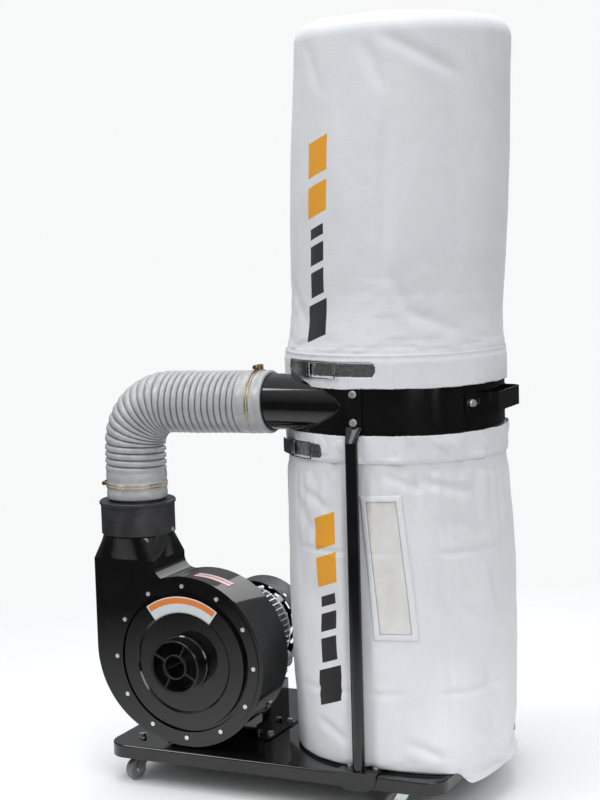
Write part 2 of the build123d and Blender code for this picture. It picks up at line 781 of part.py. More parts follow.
def make_guard():
    outer = hose_size_r - inlet_wall - guard_slip
    sketch = Circle(outer) - Circle(outer - guard_web)
    sketch += Circle(guard_hub_r) - Circle(guard_hub_r - guard_web)
    mid = (outer + guard_hub_r - guard_web) / 2
    for angle in (62, 152, 242, 332):
        sketch += Rot(0, 0, angle) * Pos(mid, 0) * Rectangle(outer - guard_hub_r - 0.4 + guard_web, guard_web)
    front = inlet_mouth + 1
    return Pos(blower_x, 0, shaft_z) * along_y(sketch, front, front + guard_depth)


def make_cover_screws():
    seat = housing_front - cover_sheet
    return group(pan_screw((x, seat, z), (0, -1, 0), m5_r, cover_sheet + rim_thick + 4)
                 for x, z in cover_screw_places())


def make_impeller():
    """Straight radial blades, leaning back a little, on a flat back plate with a hub."""
    plate_front = impeller_back - impeller_plate
    wheel = turned(((shaft_r, impeller_back), (impeller_r, impeller_back), (impeller_r, plate_front),
                    (shaft_r + 18, plate_front), (shaft_r + 14, plate_front - 38), (shaft_r, plate_front - 38)))
    blade = Pos((eye_r + impeller_r) / 2, 0) * Rectangle(impeller_r - eye_r, blade_thick)
    lean = Rot(0, 0, 18)
    blades = Sketch() + [Rot(0, 0, i * 360 / blade_count) * Pos(eye_r * 0.25, eye_r * 0.28) * lean * blade
                         for i in range(blade_count)]
    blades = blades & (Circle(impeller_r) - Circle(shaft_r + 16))
    wheel += Pos(blower_x, 0, shaft_z) * along_y(blades, plate_front - blade_width, plate_front)
    return wheel


def make_impeller_bolt():
    end = impeller_back - impeller_plate - 38
    washer = turned(((0, end), (shaft_r + 9, end), (shaft_r + 9, end - 4), (0, end - 4)))
    head = hex_prism((blower_x, end - 4, shaft_z), (0, -1, 0), 8, 19)
    return washer + head


# ---------------------------------------------------------------- collar, hose and clamps
def collar_screw_places(radius):
    return [(duct_mid_x + radius * cos(radians(a)), duct_mid_y + radius * sin(radians(a)))
            for a in (5, 95, 185)]


def make_collar():
    skirt_in = neck_r + 0.2
    spigot_in = hose_size_r - collar_wall
    top = collar_top + spigot_length
    outline = ((skirt_in, collar_bottom), (collar_r, collar_bottom), (collar_r, collar_top - 9),
               (collar_r + collar_lip, collar_top - 7), (collar_r + collar_lip, collar_top - 2),
               (collar_r + 1, collar_top), (hose_size_r + 3, collar_top), (hose_size_r, collar_top - 4),
               (hose_size_r, top), (spigot_in, top), (spigot_in, collar_top - 8), (skirt_in, neck_top + 8))
    collar = revolve(Plane.XZ * polygon(outline), Axis.Z)
    collar = Pos(duct_mid_x, duct_mid_y, 0) * collar
    mid_z = (collar_bottom + neck_top) / 2
    for x, y in collar_screw_places(neck_r):
        collar -= rod((duct_mid_x, duct_mid_y, mid_z), (x - duct_mid_x, y - duct_mid_y, 0), collar_r + 5,
                      m5_r + 0.01)
    return collar


def make_collar_screws():
    mid_z = (collar_bottom + neck_top) / 2
    screws = []
    for x, y in collar_screw_places(1):
        out = Vector(x - duct_mid_x, y - duct_mid_y, 0)
        seat = Vector(duct_mid_x, duct_mid_y, mid_z) + out * (collar_r + 0.1)
        screws.append(pan_screw(seat, out, m5_r, collar_wall + 6))
    return group(screws)


def hose_line():
    start = Vector(duct_mid_x, duct_mid_y, hose_bottom)
    corner = Vector(duct_mid_x, duct_mid_y, tube_axis_z - hose_rise)
    lead_in = Vector(tube_start_x - 20, tube_axis_y, tube_axis_z)
    end = Vector(hose_end_x, tube_axis_y, tube_axis_z)
    return FilletPolyline(start, corner, lead_in, end, radius=[hose_bend_r, 700])


def make_hose():
    line = hose_line()
    section = Plane(origin=line @ 0, z_dir=line % 0)
    outer = sweep(section * Circle(hose_outer_r), path=line)
    inner = sweep(section * Circle(hose_inner_r), path=line)
    return outer - inner


def make_hose_clamp(centre, along, screw_side):
    """Two wire hoops with a screw block on one side of the hose."""
    frame = Plane(origin=centre, x_dir=screw_side, z_dir=along)
    hoop_r = hose_outer_r + clamp_wire_r + 0.1
    parts = [frame * Pos(0, 0, side * clamp_spacing / 2) * Torus(hoop_r, clamp_wire_r) for side in (-1, 1)]
    block_x = hoop_r + 5.5
    clamp = parts[0] + parts[1]
    for side in (-1, 1):
        clamp += frame * Pos(block_x, side * 9, 0) * Box(11, 5, clamp_spacing + 2 * clamp_wire_r + 2)
    clamp += frame * Pos(block_x + 1, 0, 0) * Rot(90, 0, 0) * Cylinder(2.4, 36)
    clamp += frame * Pos(block_x + 1, 20, 0) * Rot(90, 0, 0) * Cylinder(5.0, 6)
    return clamp


# ---------------------------------------------------------------- motor
def make_motor_frame():
    sketch = Circle(frame_skin_r)
    keep_clear = ((180, 27), (270, 34), (capacitor_angle % 360, 14))
    for i in range(fin_count):
        angle = (i + 0.5) * 360 / fin_count
        away = [abs((angle - at + 180) % 360 - 180) for at, _ in keep_clear]
        if all(gap > width for gap, (_, width) in zip(away, keep_clear)):
            sketch += Rot(0, 0, angle) * Pos((frame_skin_r + fin_tip_r) / 2 - 1, 0) * Rectangle(
                fin_tip_r - frame_skin_r + 2, fin_thick)
    foot_top = -frame_skin_r * 0.72
    foot_bottom = stand_top - shaft_z
    for side in (-1, 1):
        mid = side * (foot_pad_x - 20)
        sketch += Pos(mid, (foot_top + foot_bottom) / 2) * Rectangle(8, foot_top - foot_bottom)
        sketch += Pos(side * foot_pad_x * 0.93, foot_bottom + 4) * Rectangle(52, 8)
    sketch -= Circle(frame_bore_r)
    frame = Pos(blower_x, 0, shaft_z) * along_y(sketch, motor_frame_front, motor_frame_back)
    for x, y in motor_foot_bolt_places():
        frame -= rod((x, y, stand_top - 1), (0, 0, 1), 12, m8_r + hole_slack)
    return frame


def motor_foot_bolt_places():
    return [(blower_x + side * foot_pad_x, y) for side in (-1, 1) for y in foot_bolt_ys]


def make_front_bell():
    rear = motor_frame_front
    seat_r = bearing_r
    seat_end = rear + 6 - bearing_width
    bell = turned(((shaft_r + 2, housing_back), (front_bell_r - 5, housing_back), (front_bell_r - 5, rear - 4),
                   (front_bell_r, rear - 4), (front_bell_r, rear), (frame_bore_r - 0.1, rear),
                   (frame_bore_r - 0.1, rear + 4), (seat_r + 14, rear + 4), (seat_r + 8, rear + 6),
                   (seat_r, rear + 6), (seat_r, seat_end), (shaft_r + 2, seat_end)))
    for x, z in flange_bolt_places():
        bell -= rod((x, housing_back - 1, z), (0, 1, 0), 18, m8_r)
    return bell


def make_rear_bell():
    front = motor_frame_back
    seat_start = front - 6
    seat_end = seat_start + bearing_width
    bell = turned(((bearing_r, seat_start), (bearing_r + 8, seat_start), (bearing_r + 14, front - 4),
                   (frame_bore_r - 0.1, front - 4), (frame_bore_r - 0.1, front), (fin_tip_r - 3, front),
                   (fin_tip_r - 3, front + 8), (bearing_r + 12, motor_bell_back), (shaft_r + 2, motor_bell_back),
                   (shaft_r + 2, seat_end), (bearing_r, seat_end)))
    lug_end = cowl_r - cowl_wall - 0.1
    web = Pos((fin_tip_r - 14 + lug_end) / 2, 0) * Rectangle(lug_end - fin_tip_r + 14, 14)
    reach = turned(((0, front + 2), (fin_tip_r - 3, front + 2), (lug_end, motor_bell_back + 2),
                    (lug_end, cowl_screw_y + 6), (0, cowl_screw_y + 6)))
    for angle in cowl_screw_angles():
        arm = Pos(blower_x, 0, shaft_z) * along_y(Rot(0, 0, angle) * web, front, cowl_screw_y + 6)
        bell += arm & reach
    for angle in cowl_screw_angles():
        out = (cos(radians(angle)), 0, sin(radians(angle)))
        bell -= rod((blower_x + 80 * out[0], cowl_screw_y, shaft_z + 80 * out[2]), out, 60, m5_r)
    return bell


def cowl_screw_angles():
    return (45, 135, 225, 315)


def make_cowl():
    front = motor_bell_back
    back = cowl_back
    outer = turned(((0, front), (cowl_r, front), (cowl_r, back), (0, back)))
    outer = fillet(outer.edges().filter_by(GeomType.CIRCLE).sort_by(Axis.Y)[-1], cowl_edge_r)
    inner_r = cowl_r - cowl_wall
    inner = turned(((0, front - 1), (inner_r, front - 1), (inner_r, back - cowl_wall), (0, back - cowl_wall)))
    inner = fillet(inner.edges().filter_by(GeomType.CIRCLE).sort_by(Axis.Y)[-1], cowl_edge_r - cowl_wall)
    cowl = outer - inner
    slots = Sketch()
    for ring, ring_slots in ((34, 6), (50, 9), (66, 12), (82, 15)):
        for i in range(ring_slots):
            slots += Rot(0, 0, i * 360 / ring_slots + ring) * Pos(ring, 0) * SlotOverall(22, 7, rotation=90)
    slots = slots & Circle(cowl_r - cowl_edge_r - 2)
    cowl -= Pos(blower_x, 0, shaft_z) * along_y(slots, back - 10, back + 1)
    for angle in cowl_screw_angles():
        out = (cos(radians(angle)), 0, sin(radians(angle)))
        cowl -= rod((blower_x, cowl_screw_y, shaft_z), out, cowl_r + 10, m5_r + hole_slack)
    return cowl


def make_cowl_screws():
    screws = []
    for angle in cowl_screw_angles():
        out = Vector(cos(radians(angle)), 0, sin(radians(angle)))
        seat = Vector(blower_x, cowl_screw_y, shaft_z) + out * (cowl_r + 0.1)
        screws.append(pan_screw(seat, out, m5_r, cowl_wall + 9))
    return group(screws)


def make_shaft():
    front = impeller_back - impeller_plate - 38
    back = fan_front + fan_width - 4
    return turned(((0, front), (shaft_r, front), (shaft_r, back - 2), (shaft_r - 2, back), (0, back)))


def make_bearings():
    """Deep-groove bearings: inner race, outer race and a shield between them."""
    solids = []
    for front in (motor_frame_front + 6 - bearing_width, motor_frame_back - 6):
        inner = shaft_r + shaft_play
        outer = bearing_r - 0.02
        back = front + bearing_width
        solids.append(turned(((inner, front), (inner + 4, front), (inner + 4, front + 1.2), (outer - 4, front + 1.2),
                              (outer - 4, front), (outer, front), (outer, back), (outer - 4, back),
                              (outer - 4, back - 1.2), (inner + 4, back - 1.2), (inner + 4, back), (inner, back))))
    return group(solids)


def make_rotor():
    front = motor_frame_front + winding_room - 2
    back = motor_frame_back - winding_room + 2
    core = turned(((shaft_r, front), (rotor_r, front), (rotor_r, back), (shaft_r, back)))
    for end, out in ((front, -8), (back, 8)):
        core += turned(((shaft_r + 14, end), (rotor_r - 2, end), (rotor_r - 4, end + out), (shaft_r + 16, end + out)))
    return core


def make_stator():
    inner = rotor_r + air_gap
    outer = frame_bore_r - 0.1
    front = motor_frame_front + winding_room
    back = motor_frame_back - winding_room
    core = turned(((inner, front), (outer, front), (outer, back), (inner, back)))
    for end, out in ((front, -1), (back, 1)):
        core += turned(((inner + 4, end), (frame_bore_r - 8, end), (frame_bore_r - 10, end + out * 17),
                        (inner + 7, end + out * 17)))
    return core


def make_fan():
    fan = turned(((shaft_r, fan_front), (shaft_r + 8, fan_front), (shaft_r + 10, fan_front + 12),
                  (fan_r - 12, fan_front + 12), (fan_r - 12, fan_front + 15), (shaft_r + 8, fan_front + 15),
                  (shaft_r + 8, fan_front + fan_width - 8), (shaft_r, fan_front + fan_width - 8)))
    blade = Pos((shaft_r + 8 + fan_r) / 2, 0) * Rectangle(fan_r - shaft_r - 8, 2.5)
    blades = Sketch() + [Rot(0, 0, i * 360 / fan_blades) * blade for i in range(fan_blades)]
    fan += Pos(blower_x, 0, shaft_z) * along_y(blades, fan_front + 12, fan_front + fan_width)
    return fan


def make_stand():
    half = stand_half_width
    side_view = ((stand_front, base_top), (stand_front, stand_step_z), (stand_step, stand_step_z),
                 (stand_step, stand_top), (stand_back, stand_top), (stand_back, base_top))
    stand = block(blower_x - half, blower_x + half, stand_step, stand_back, stand_top - stand_sheet, stand_top)
    for side in (-1, 1):
        web = extrude(Plane.YZ * polygon(side_view), amount=stand_sheet)
        x = blower_x + side * half - (stand_sheet if side > 0 else 0)
        stand += Pos(x, 0, 0) * web
        edges = sorted((blower_x + side * (half - 1), blower_x + side * (half + stand_flange)))
        stand += block(edges[0], edges[1], stand_front, stand_back, base_top, base_top + stand_sheet)
    stand += block(blower_x - half, blower_x + half, stand_back - stand_sheet, stand_back, base_top + 30, stand_top)
    for x, y in stand_bolt_places():
        stand -= rod((x, y, base_top - 1), (0, 0, 1), stand_sheet + 2, m8_r + hole_slack)
    for x, y in motor_foot_bolt_places():
        stand -= rod((x, y, stand_top - stand_sheet - 1), (0, 0, 1), stand_sheet + 2, m8_r + hole_slack)
    return stand


def make_stand_bolts():
    seat = base_top + stand_sheet
    return group(bolt((x, y, seat), (0, 0, 1), m8_r, stand_sheet + base_sheet + 8) for x, y in stand_bolt_places())


def make_motor_foot_bolts():
    seat = stand_top + 8
    return group(bolt((x, y, seat), (0, 0, 1), m8_r, 8 + stand_sheet + 8) for x, y in motor_foot_bolt_places())


def capacitor_centre():
    reach = frame_skin_r + capacitor_stand_off + capacitor_cover_r
    return (blower_x + reach * cos(radians(capacitor_angle)), shaft_z + reach * sin(radians(capacitor_angle)))


def make_capacitor_cover():
    x, z = capacitor_centre()
    half = capacitor_length / 2 + 6
    start = (x, capacitor_mid_y - half, z)
    shell = rod(start, (0, 1, 0), 2 * half, capacitor_cover_r)
    reach = hypot(x - blower_x, z - shaft_z)
    bridge = Pos((frame_skin_r + 1 + reach) / 2, 0) * Rectangle(reach - frame_skin_r - 1, 22)
    saddle = Pos(blower_x, 0, shaft_z) * along_y(Rot(0, 0, capacitor_angle) * bridge,
                                                 capacitor_mid_y - 34, capacitor_mid_y + 34)
    shell += saddle
    inner = rod((x, capacitor_mid_y - half + capacitor_cover_wall, z), (0, 1, 0),
                2 * (half - capacitor_cover_wall), capacitor_cover_r - capacitor_cover_wall)
    return shell - inner


def make_capacitor():
    x, z = capacitor_centre()
    half = capacitor_length / 2
    can = rod((x, capacitor_mid_y - half, z), (0, 1, 0), capacitor_length, capacitor_r)
    for shift in (-7, 7):
        can += block(x + shift - 3, x + shift + 3, capacitor_mid_y + half, capacitor_mid_y + half + 3.5,
                     z - 0.5, z + 0.5)
    return can


# ---------------------------------------------------------------- terminal box and switch
def make_terminal_box():
    inner_x = blower_x - sqrt(frame_skin_r ** 2 - (box_top - shaft_z) ** 2) + 8
    box = block(box_outer_x, inner_x, box_front, box_back, box_bottom, box_top)
    hollow = block(box_outer_x - 1, inner_x - box_wall, box_front + box_wall, box_back - box_wall,
                   box_bottom + box_wall, box_top - box_wall)
    shell = box - hollow
    shell -= turned(((0, box_front - 1), (frame_skin_r + 0.1, box_front - 1), (frame_skin_r + 0.1, box_back + 1),
                     (0, box_back + 1)))
    return shell - rod((box_outer_x + 20, box_mid_y, box_bottom - 1), (0, 0, 1), box_wall + 2, 10.1)


def make_lid():
    lid = block(box_outer_x - lid_thick, box_outer_x, box_front - 1, box_back + 1, box_bottom - 1, box_top + 1)
    lid = fillet(lid.edges().filter_by(Axis.X), 4)
    hole_z = rocker_half_length + rocker_gap
    hole_y = rocker_half_width + rocker_gap + 2.5
    lid -= block(box_outer_x - lid_thick - 1, box_outer_x + 1, box_mid_y - hole_y, box_mid_y + hole_y,
                 switch_z - hole_z, switch_z + hole_z)
    for y in (box_front + 6, box_back - 6):
        for z in (box_bottom + 6, box_top - 6):
            lid += rod((box_outer_x - lid_thick, y, z), (-1, 0, 0), 2, 3.2)
    return lid


def switch_pivot():
    return Vector(box_outer_x - lid_thick + 1.5, box_mid_y, switch_z)


def make_bezel():
    hole_z = rocker_half_length + rocker_gap
    hole_y = rocker_half_width + rocker_gap
    face = box_outer_x - lid_thick
    frame = block(face - 2.5, face, box_mid_y - hole_y - 5, box_mid_y + hole_y + 5, switch_z - hole_z - 3,
                  switch_z + hole_z + 3)
    frame += block(face, face + 14, box_mid_y - hole_y - 2.3, box_mid_y + hole_y + 2.3, switch_z - hole_z + 0.1,
                   switch_z + hole_z - 0.1)
    frame -= block(face - 4, face + 12, box_mid_y - hole_y, box_mid_y + hole_y, switch_z - hole_z + 0.6,
                   switch_z + hole_z - 0.6)
    pivot = switch_pivot()
    return frame - rod((pivot.X, pivot.Y - 20, pivot.Z), (0, 1, 0), 40, rocker_pin_r + rocker_pin_play)


def make_rocker():
    """Drawn level, then tipped to its off position about its own pin."""
    pivot = switch_pivot()
    long = rocker_half_length - 0.6
    outline = ((-4.6, 0), (-6.4, long), (1.5, long), (4, 4), (4, -4), (1.5, -long), (-6.4, -long))
    body = Pos(0, rocker_half_width, 0) * extrude(Plane.XZ * polygon(outline), amount=2 * rocker_half_width)
    pin = rod((0, -rocker_half_width - 2.2, 0), (0, 1, 0), 2 * rocker_half_width + 4.4, rocker_pin_r)
    return Pos(pivot.X, pivot.Y, pivot.Z) * Rot(0, rocker_tilt, 0) * (body + pin)


def make_gland():
    x = box_outer_x + 20
    top = box_bottom
    gland = rod((x, box_mid_y, top), (0, 0, -1), 4, 13)
    gland += hex_prism((x, box_mid_y, top - 4), (0, 0, -1), 9, 22)
    gland += rod((x, box_mid_y, top - 13), (0, 0, -1), 7, 9)
    gland += rod((x, box_mid_y, top), (0, 0, 1), 9, 10)
    return gland - rod((x, box_mid_y, top + 10), (0, 0, -1), 40, 4.5)


# ---------------------------------------------------------------- assembly
def build_pieces():
    pieces = {
        "base_plate": make_base(),
        "caster_stems": group(make_caster_stem(x, y) for x, y in caster_places().values()),
        "caster_nuts": group(make_caster_nut(x, y) for x, y in caster_places().values()),
        "drum_ring": make_ring(),
        "inlet_tube": make_inlet_tube(),
        "ring_handle": make_handle(),
        "handle_bolts": make_handle_bolts(),
        "post_front": make_post(-1),
        "post_rear": make_post(1),
        "post_top_bolts": make_post_top_bolts(),
        "post_foot_bolts": make_post_foot_bolts(),
        "filter_bag": make_filter_bag(),
        "collection_bag": make_collection_bag(),
        "bag_window": make_window(),
        "blower_housing": make_housing(),
        "blower_cover": make_cover(),
        "inlet_pipe": make_inlet_pipe(),
        "inlet_guard": make_guard(),
        "cover_screws": make_cover_screws(),
        "outlet_collar": make_collar(),
        "collar_screws": make_collar_screws(),
        "duct_hose": make_hose(),
        "hose_clamp_lower": make_hose_clamp((duct_mid_x, duct_mid_y, lower_clamp_z), (0, 0, 1), (-1, 0, 0)),
        "hose_clamp_upper": make_hose_clamp((upper_clamp_x, tube_axis_y, tube_axis_z), (1, 0, 0), (0, 0, 1)),
        "motor_stand": make_stand(),
        "motor_stand_bolts": make_stand_bolts(),
        "motor_foot_bolts": make_motor_foot_bolts(),
        "motor_frame": make_motor_frame(),
        "motor_front_bell": make_front_bell(),
        "motor_rear_bell": make_rear_bell(),
        "fan_cowl": make_cowl(),
        "cowl_screws": make_cowl_screws(),
        "motor_stator": make_stator(),
        "motor_bearings": make_bearings(),
        "motor_shaft": make_shaft(),
        "motor_rotor": make_rotor(),
        "cooling_fan": make_fan(),
        "impeller": make_impeller(),
        "impeller_bolt": make_impeller_bolt(),
        "capacitor_cover": make_capacitor_cover(),
        "capacitor": make_capacitor(),
        "terminal_box": make_terminal_box(),
        "terminal_box_lid": make_lid(),
        "cable_gland": make_gland(),
        "switch_bezel": make_bezel(),
        "switch_rocker": make_rocker(),
    }
    for name, (x, y) in caster_places().items():
        pieces["caster_fork_" + name] = make_fork(x, y, swivel_rest[name])
        pieces["caster_wheel_" + name] = make_wheel(x, y, swivel_rest[name])
    for name, angle, z, tail in (("upper", upper_latch_angle, upper_band_z, 18),
                                 ("lower", lower_latch_angle, lower_band_z, 12)):
        pieces[name + "_clamp_band"] = make_band(angle, z, tail)
        pieces[name + "_latch_lever"] = make_lever(angle, z)
        pieces[name + "_latch_bail"] = make_bail(angle, z)
    return pieces


def origin_shift(pieces):
    box = Compound(list(pieces.values())).bounding_box()
    return Vector(-(box.min.X + box.max.X) / 2, -(box.min.Y + box.max.Y) / 2, -box.min.Z)


def main():
    os.makedirs("parts", exist_ok=True)
    pieces = build_pieces()
    shift = origin_shift(pieces)
    print("drum axis sits at x = %.3f, y = %.3f, floor raised by %.3f" % (shift.X, shift.Y, shift.Z))
    for name, piece in pieces.items():
        export_step(Pos(shift.X, shift.Y, shift.Z) * piece, "parts/" + name + ".step")


main()
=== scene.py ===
"""The looks of a single-bag dust collector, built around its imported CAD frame. Metres, +Z up, floor at z = 0."""

import math

import bpy
import numpy as np
from mathutils import Matrix, Vector, noise


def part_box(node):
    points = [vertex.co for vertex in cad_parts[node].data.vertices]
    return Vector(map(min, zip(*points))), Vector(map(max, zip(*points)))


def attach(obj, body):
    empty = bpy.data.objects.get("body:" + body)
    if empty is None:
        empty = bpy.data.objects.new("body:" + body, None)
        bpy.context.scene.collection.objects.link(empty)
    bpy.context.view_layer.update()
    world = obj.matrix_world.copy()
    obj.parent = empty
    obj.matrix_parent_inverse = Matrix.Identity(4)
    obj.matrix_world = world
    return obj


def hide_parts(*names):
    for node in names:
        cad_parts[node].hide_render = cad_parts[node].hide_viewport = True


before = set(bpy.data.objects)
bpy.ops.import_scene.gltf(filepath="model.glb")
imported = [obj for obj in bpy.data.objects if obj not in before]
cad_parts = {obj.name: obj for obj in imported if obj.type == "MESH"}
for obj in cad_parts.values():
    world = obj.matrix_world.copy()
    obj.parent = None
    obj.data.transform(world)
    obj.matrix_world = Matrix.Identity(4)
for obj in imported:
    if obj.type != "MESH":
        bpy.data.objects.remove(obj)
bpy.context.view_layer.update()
scene = bpy.context.scene

# ---------------------------------------------------------------- places that come from the frame
ring_low, ring_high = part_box("drum_ring")
AXIS = Vector(((ring_low.x + ring_high.x) / 2, (ring_low.y + ring_high.y) / 2, 0))
RING_R = (ring_high.y - ring_low.y) / 2
tray_low, tray_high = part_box("base_plate")
filter_low, filter_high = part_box("filter_bag")
bag_low, bag_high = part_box("collection_bag")
upper_band_low, upper_band_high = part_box("upper_clamp_band")
lower_band_low, lower_band_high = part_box("lower_clamp_band")
tube_low, tube_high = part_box("inlet_tube")
hose_low, hose_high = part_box("duct_hose")
pipe_low, pipe_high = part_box("inlet_pipe")
cover_low, cover_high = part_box("blower_cover")
housing_low, housing_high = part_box("blower_housing")
collar_low, collar_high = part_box("outlet_collar")

# ---------------------------------------------------------------- camera and lights
CAMERA_OFFSET = Vector((1.4335, -3.5563, 1.3198))
CAMERA_YAW = math.radians(25.25)
CAMERA_PITCH = math.radians(-6.33)
CAMERA_ROLL = math.radians(-1.58)
CAMERA_LENS = 75.67
SENSOR = 36.0
BACKDROP = (0.94, 0.943, 0.95, 1)
HORIZON_LIGHT = (0.05, 0.051, 0.053)
ZENITH_LIGHT = (0.72, 0.73, 0.75)


def make_camera():
    forward = Vector((-math.sin(CAMERA_YAW) * math.cos(CAMERA_PITCH),
                      math.cos(CAMERA_YAW) * math.cos(CAMERA_PITCH), math.sin(CAMERA_PITCH)))
    level_right = Vector((math.cos(CAMERA_YAW), math.sin(CAMERA_YAW), 0))
    level_up = level_right.cross(forward)
    right = math.cos(CAMERA_ROLL) * level_right + math.sin(CAMERA_ROLL) * level_up
    up = -math.sin(CAMERA_ROLL) * level_right + math.cos(CAMERA_ROLL) * level_up
    data = bpy.data.cameras.new("camera")
    data.lens = CAMERA_LENS
    data.sensor_width = SENSOR
    data.sensor_fit = "AUTO"
    data.clip_end = 60
    camera = bpy.data.objects.new("camera", data)
    scene.collection.objects.link(camera)
    camera.matrix_world = Matrix.Translation(AXIS + CAMERA_OFFSET) @ Matrix((right, up, -forward)).transposed().to_4x4()
    scene.camera = camera


def area_light(name, place, aim, size, power, colour=(1, 1, 1)):
    data = bpy.data.lights.new(name, "AREA")
    data.shape = "RECTANGLE"
    data.size, data.size_y = size
    data.energy = power
    data.color = colour
    light = bpy.data.objects.new(name, data)
    scene.collection.objects.link(light)
    light.location = place
    light.rotation_euler = (Vector(aim) - Vector(place)).to_track_quat("-Z", "Y").to_euler()


def make_world():
    """A soft studio: bright overhead, dimmer towards the horizon, and plain white where it is looked at."""
    world = bpy.data.worlds.new("studio")
    scene.world = world
    world.use_nodes = True
    tree = world.node_tree
    lighting = tree.nodes["Background"]
    backdrop = tree.nodes.new("ShaderNodeBackground")
    backdrop.inputs["Color"].default_value = BACKDROP
    split = tree.nodes.new("ShaderNodeSeparateXYZ")
    ramp = tree.nodes.new("ShaderNodeValToRGB")
    ramp.color_ramp.elements[0].position = 0.0
    ramp.color_ramp.elements[0].color = (*HORIZON_LIGHT, 1)
    ramp.color_ramp.elements[1].position = 0.75
    ramp.color_ramp.elements[1].color = (*ZENITH_LIGHT, 1)
    looked_at = tree.nodes.new("ShaderNodeLightPath")
    blend = tree.nodes.new("ShaderNodeMixShader")
    tree.links.new(tree.nodes.new("ShaderNodeTexCoord").outputs["Generated"], split.inputs[0])
    tree.links.new(split.outputs["Z"], ramp.inputs["Fac"])
    tree.links.new(ramp.outputs["Color"], lighting.inputs["Color"])
    tree.links.new(looked_at.outputs["Is Camera Ray"], blend.inputs["Fac"])
    tree.links.new(lighting.outputs[0], blend.inputs[1])
    tree.links.new(backdrop.outputs[0], blend.inputs[2])
    tree.links.new(blend.outputs[0], tree.nodes["World Output"].inputs["Surface"])


def make_studio():
    make_world()
    area_light("key", (-2.6, -2.6, 3.6), (-0.1, 0, 0.8), (1.0, 2.0), 60)
    area_light("side", (3.2, -1.6, 1.8), (0, 0, 0.9), (0.4, 2.4), 16)
    area_light("front", (2.9, -3.0, 1.9), (0.1, 0, 0.95), (1.2, 2.6), 40)
    area_light("top", (0.0, -0.4, 4.6), (0, 0, 0.0), (3.0, 3.0), 92)
    area_light("back", (0.4, 3.6, 2.4), (0, 0, 0.9), (2.6, 2.0), 24)
    scene.view_settings.view_transform = "Standard"
    points = [(40 * math.cos(a), 40 * math.sin(a), 0) for a in (math.tau * i / 64 for i in range(64))]
    floor = mesh_object("studio_floor", points, [tuple(range(64))])
    floor.data.materials.append(MATERIALS["floor"])


# ---------------------------------------------------------------- materials
class Shader:
    """A small helper that adds nodes to one material's tree."""

    def __init__(self, name, base, roughness, metallic=0.0, **sockets):
        self.material = bpy.data.materials.new(name)
        self.material.use_nodes = True
        self.tree = self.material.node_tree
        self.bsdf = self.tree.nodes["Principled BSDF"]
        self.bsdf.inputs["Base Color"].default_value = (*base, 1)
        self.bsdf.inputs["Roughness"].default_value = roughness
        self.bsdf.inputs["Metallic"].default_value = metallic
        for key, value in sockets.items():
            self.bsdf.inputs[key.replace("_", " ")].default_value = value
        self.coordinates = self.add("ShaderNodeTexCoord").outputs["Object"]
        self.last_bump = None

    def add(self, kind, **settings):
        node = self.tree.nodes.new(kind)
        for key, value in settings.items():
            setattr(node, key, value)
        return node

    def link(self, output, target):
        self.tree.links.new(output, target)

    def math(self, operation, a, b=None, clamp=False):
        node = self.add("ShaderNodeMath", operation=operation, use_clamp=clamp)
        for socket, value in zip(node.inputs, (a, b)):
            if isinstance(value, (int, float)):
                socket.default_value = value
            elif value is not None:
                self.link(value, socket)
        return node.outputs[0]

    def noise(self, scale, detail=3.0, rough=0.55, stretch=None, distortion=0.0):
        node = self.add("ShaderNodeTexNoise")
        node.inputs["Scale"].default_value = scale
        node.inputs["Detail"].default_value = detail
        node.inputs["Roughness"].default_value = rough
        node.inputs["Distortion"].default_value = distortion
        source = self.coordinates
        if stretch:
            mapping = self.add("ShaderNodeMapping")
            mapping.inputs["Scale"].default_value = stretch
            self.link(source, mapping.inputs["Vector"])
            source = mapping.outputs[0]
        self.link(source, node.inputs["Vector"])
        return node.outputs["Fac"]

    def remap(self, value, low, high, to_low, to_high):
        node = self.add("ShaderNodeMapRange")
        self.link(value, node.inputs["Value"])
        for key, number in zip(("From Min", "From Max", "To Min", "To Max"), (low, high, to_low, to_high)):
            node.inputs[key].default_value = number
        return node.outputs[0]

    def mix(self, factor, a, b):
        node = self.add("ShaderNodeMix", data_type="RGBA")
        self.link(factor, node.inputs["Factor"])
        for socket, value in ((node.inputs[6], a), (node.inputs[7], b)):
            if isinstance(value, tuple):
                socket.default_value = (*value, 1)
            else:
                self.link(value, socket)
        return node.outputs[2]

    def colour(self, output):
        self.link(output, self.bsdf.inputs["Base Color"])
        return self

    def roughness(self, output):
        self.link(output, self.bsdf.inputs["Roughness"])
        return self

    def bump(self, height, strength, distance):
        node = self.add("ShaderNodeBump")
        node.inputs["Strength"].default_value = strength
        node.inputs["Distance"].default_value = distance
        self.link(height, node.inputs["Height"])
        if self.last_bump is not None:
            self.link(self.last_bump, node.inputs["Normal"])
        self.last_bump = node.outputs["Normal"]
        self.link(self.last_bump, self.bsdf.inputs["Normal"])
        return self

    def attribute(self, name):
        return self.add("ShaderNodeAttribute", attribute_name=name).outputs["Fac"]


def coated_metal(name, base, rough_low, rough_high, dust, peel=0.05):
    """Powder coat: faint orange peel, uneven gloss and a little pale dust."""
    s = Shader(name, base, rough_low, Specular_IOR_Level=0.5, Coat_Weight=0.15, Coat_Roughness=0.04)
    film = s.noise(9, 4, 0.6)
    s.roughness(s.remap(film, 0.3, 0.75, rough_low, rough_high))
    specks = s.remap(s.noise(420, 2, 0.7), 0.62, 0.8, 0, 1)
    clouds = s.remap(s.noise(14, 5, 0.65), 0.45, 0.8, 0, 1)
    amount = s.math("MULTIPLY", s.math("ADD", s.math("MULTIPLY", specks, 0.35), clouds), dust, clamp=True)
    s.colour(s.mix(amount, base, (0.32, 0.29, 0.26)))
    s.bump(s.noise(520, 2, 0.5), peel, 0.0004)
    return s.material


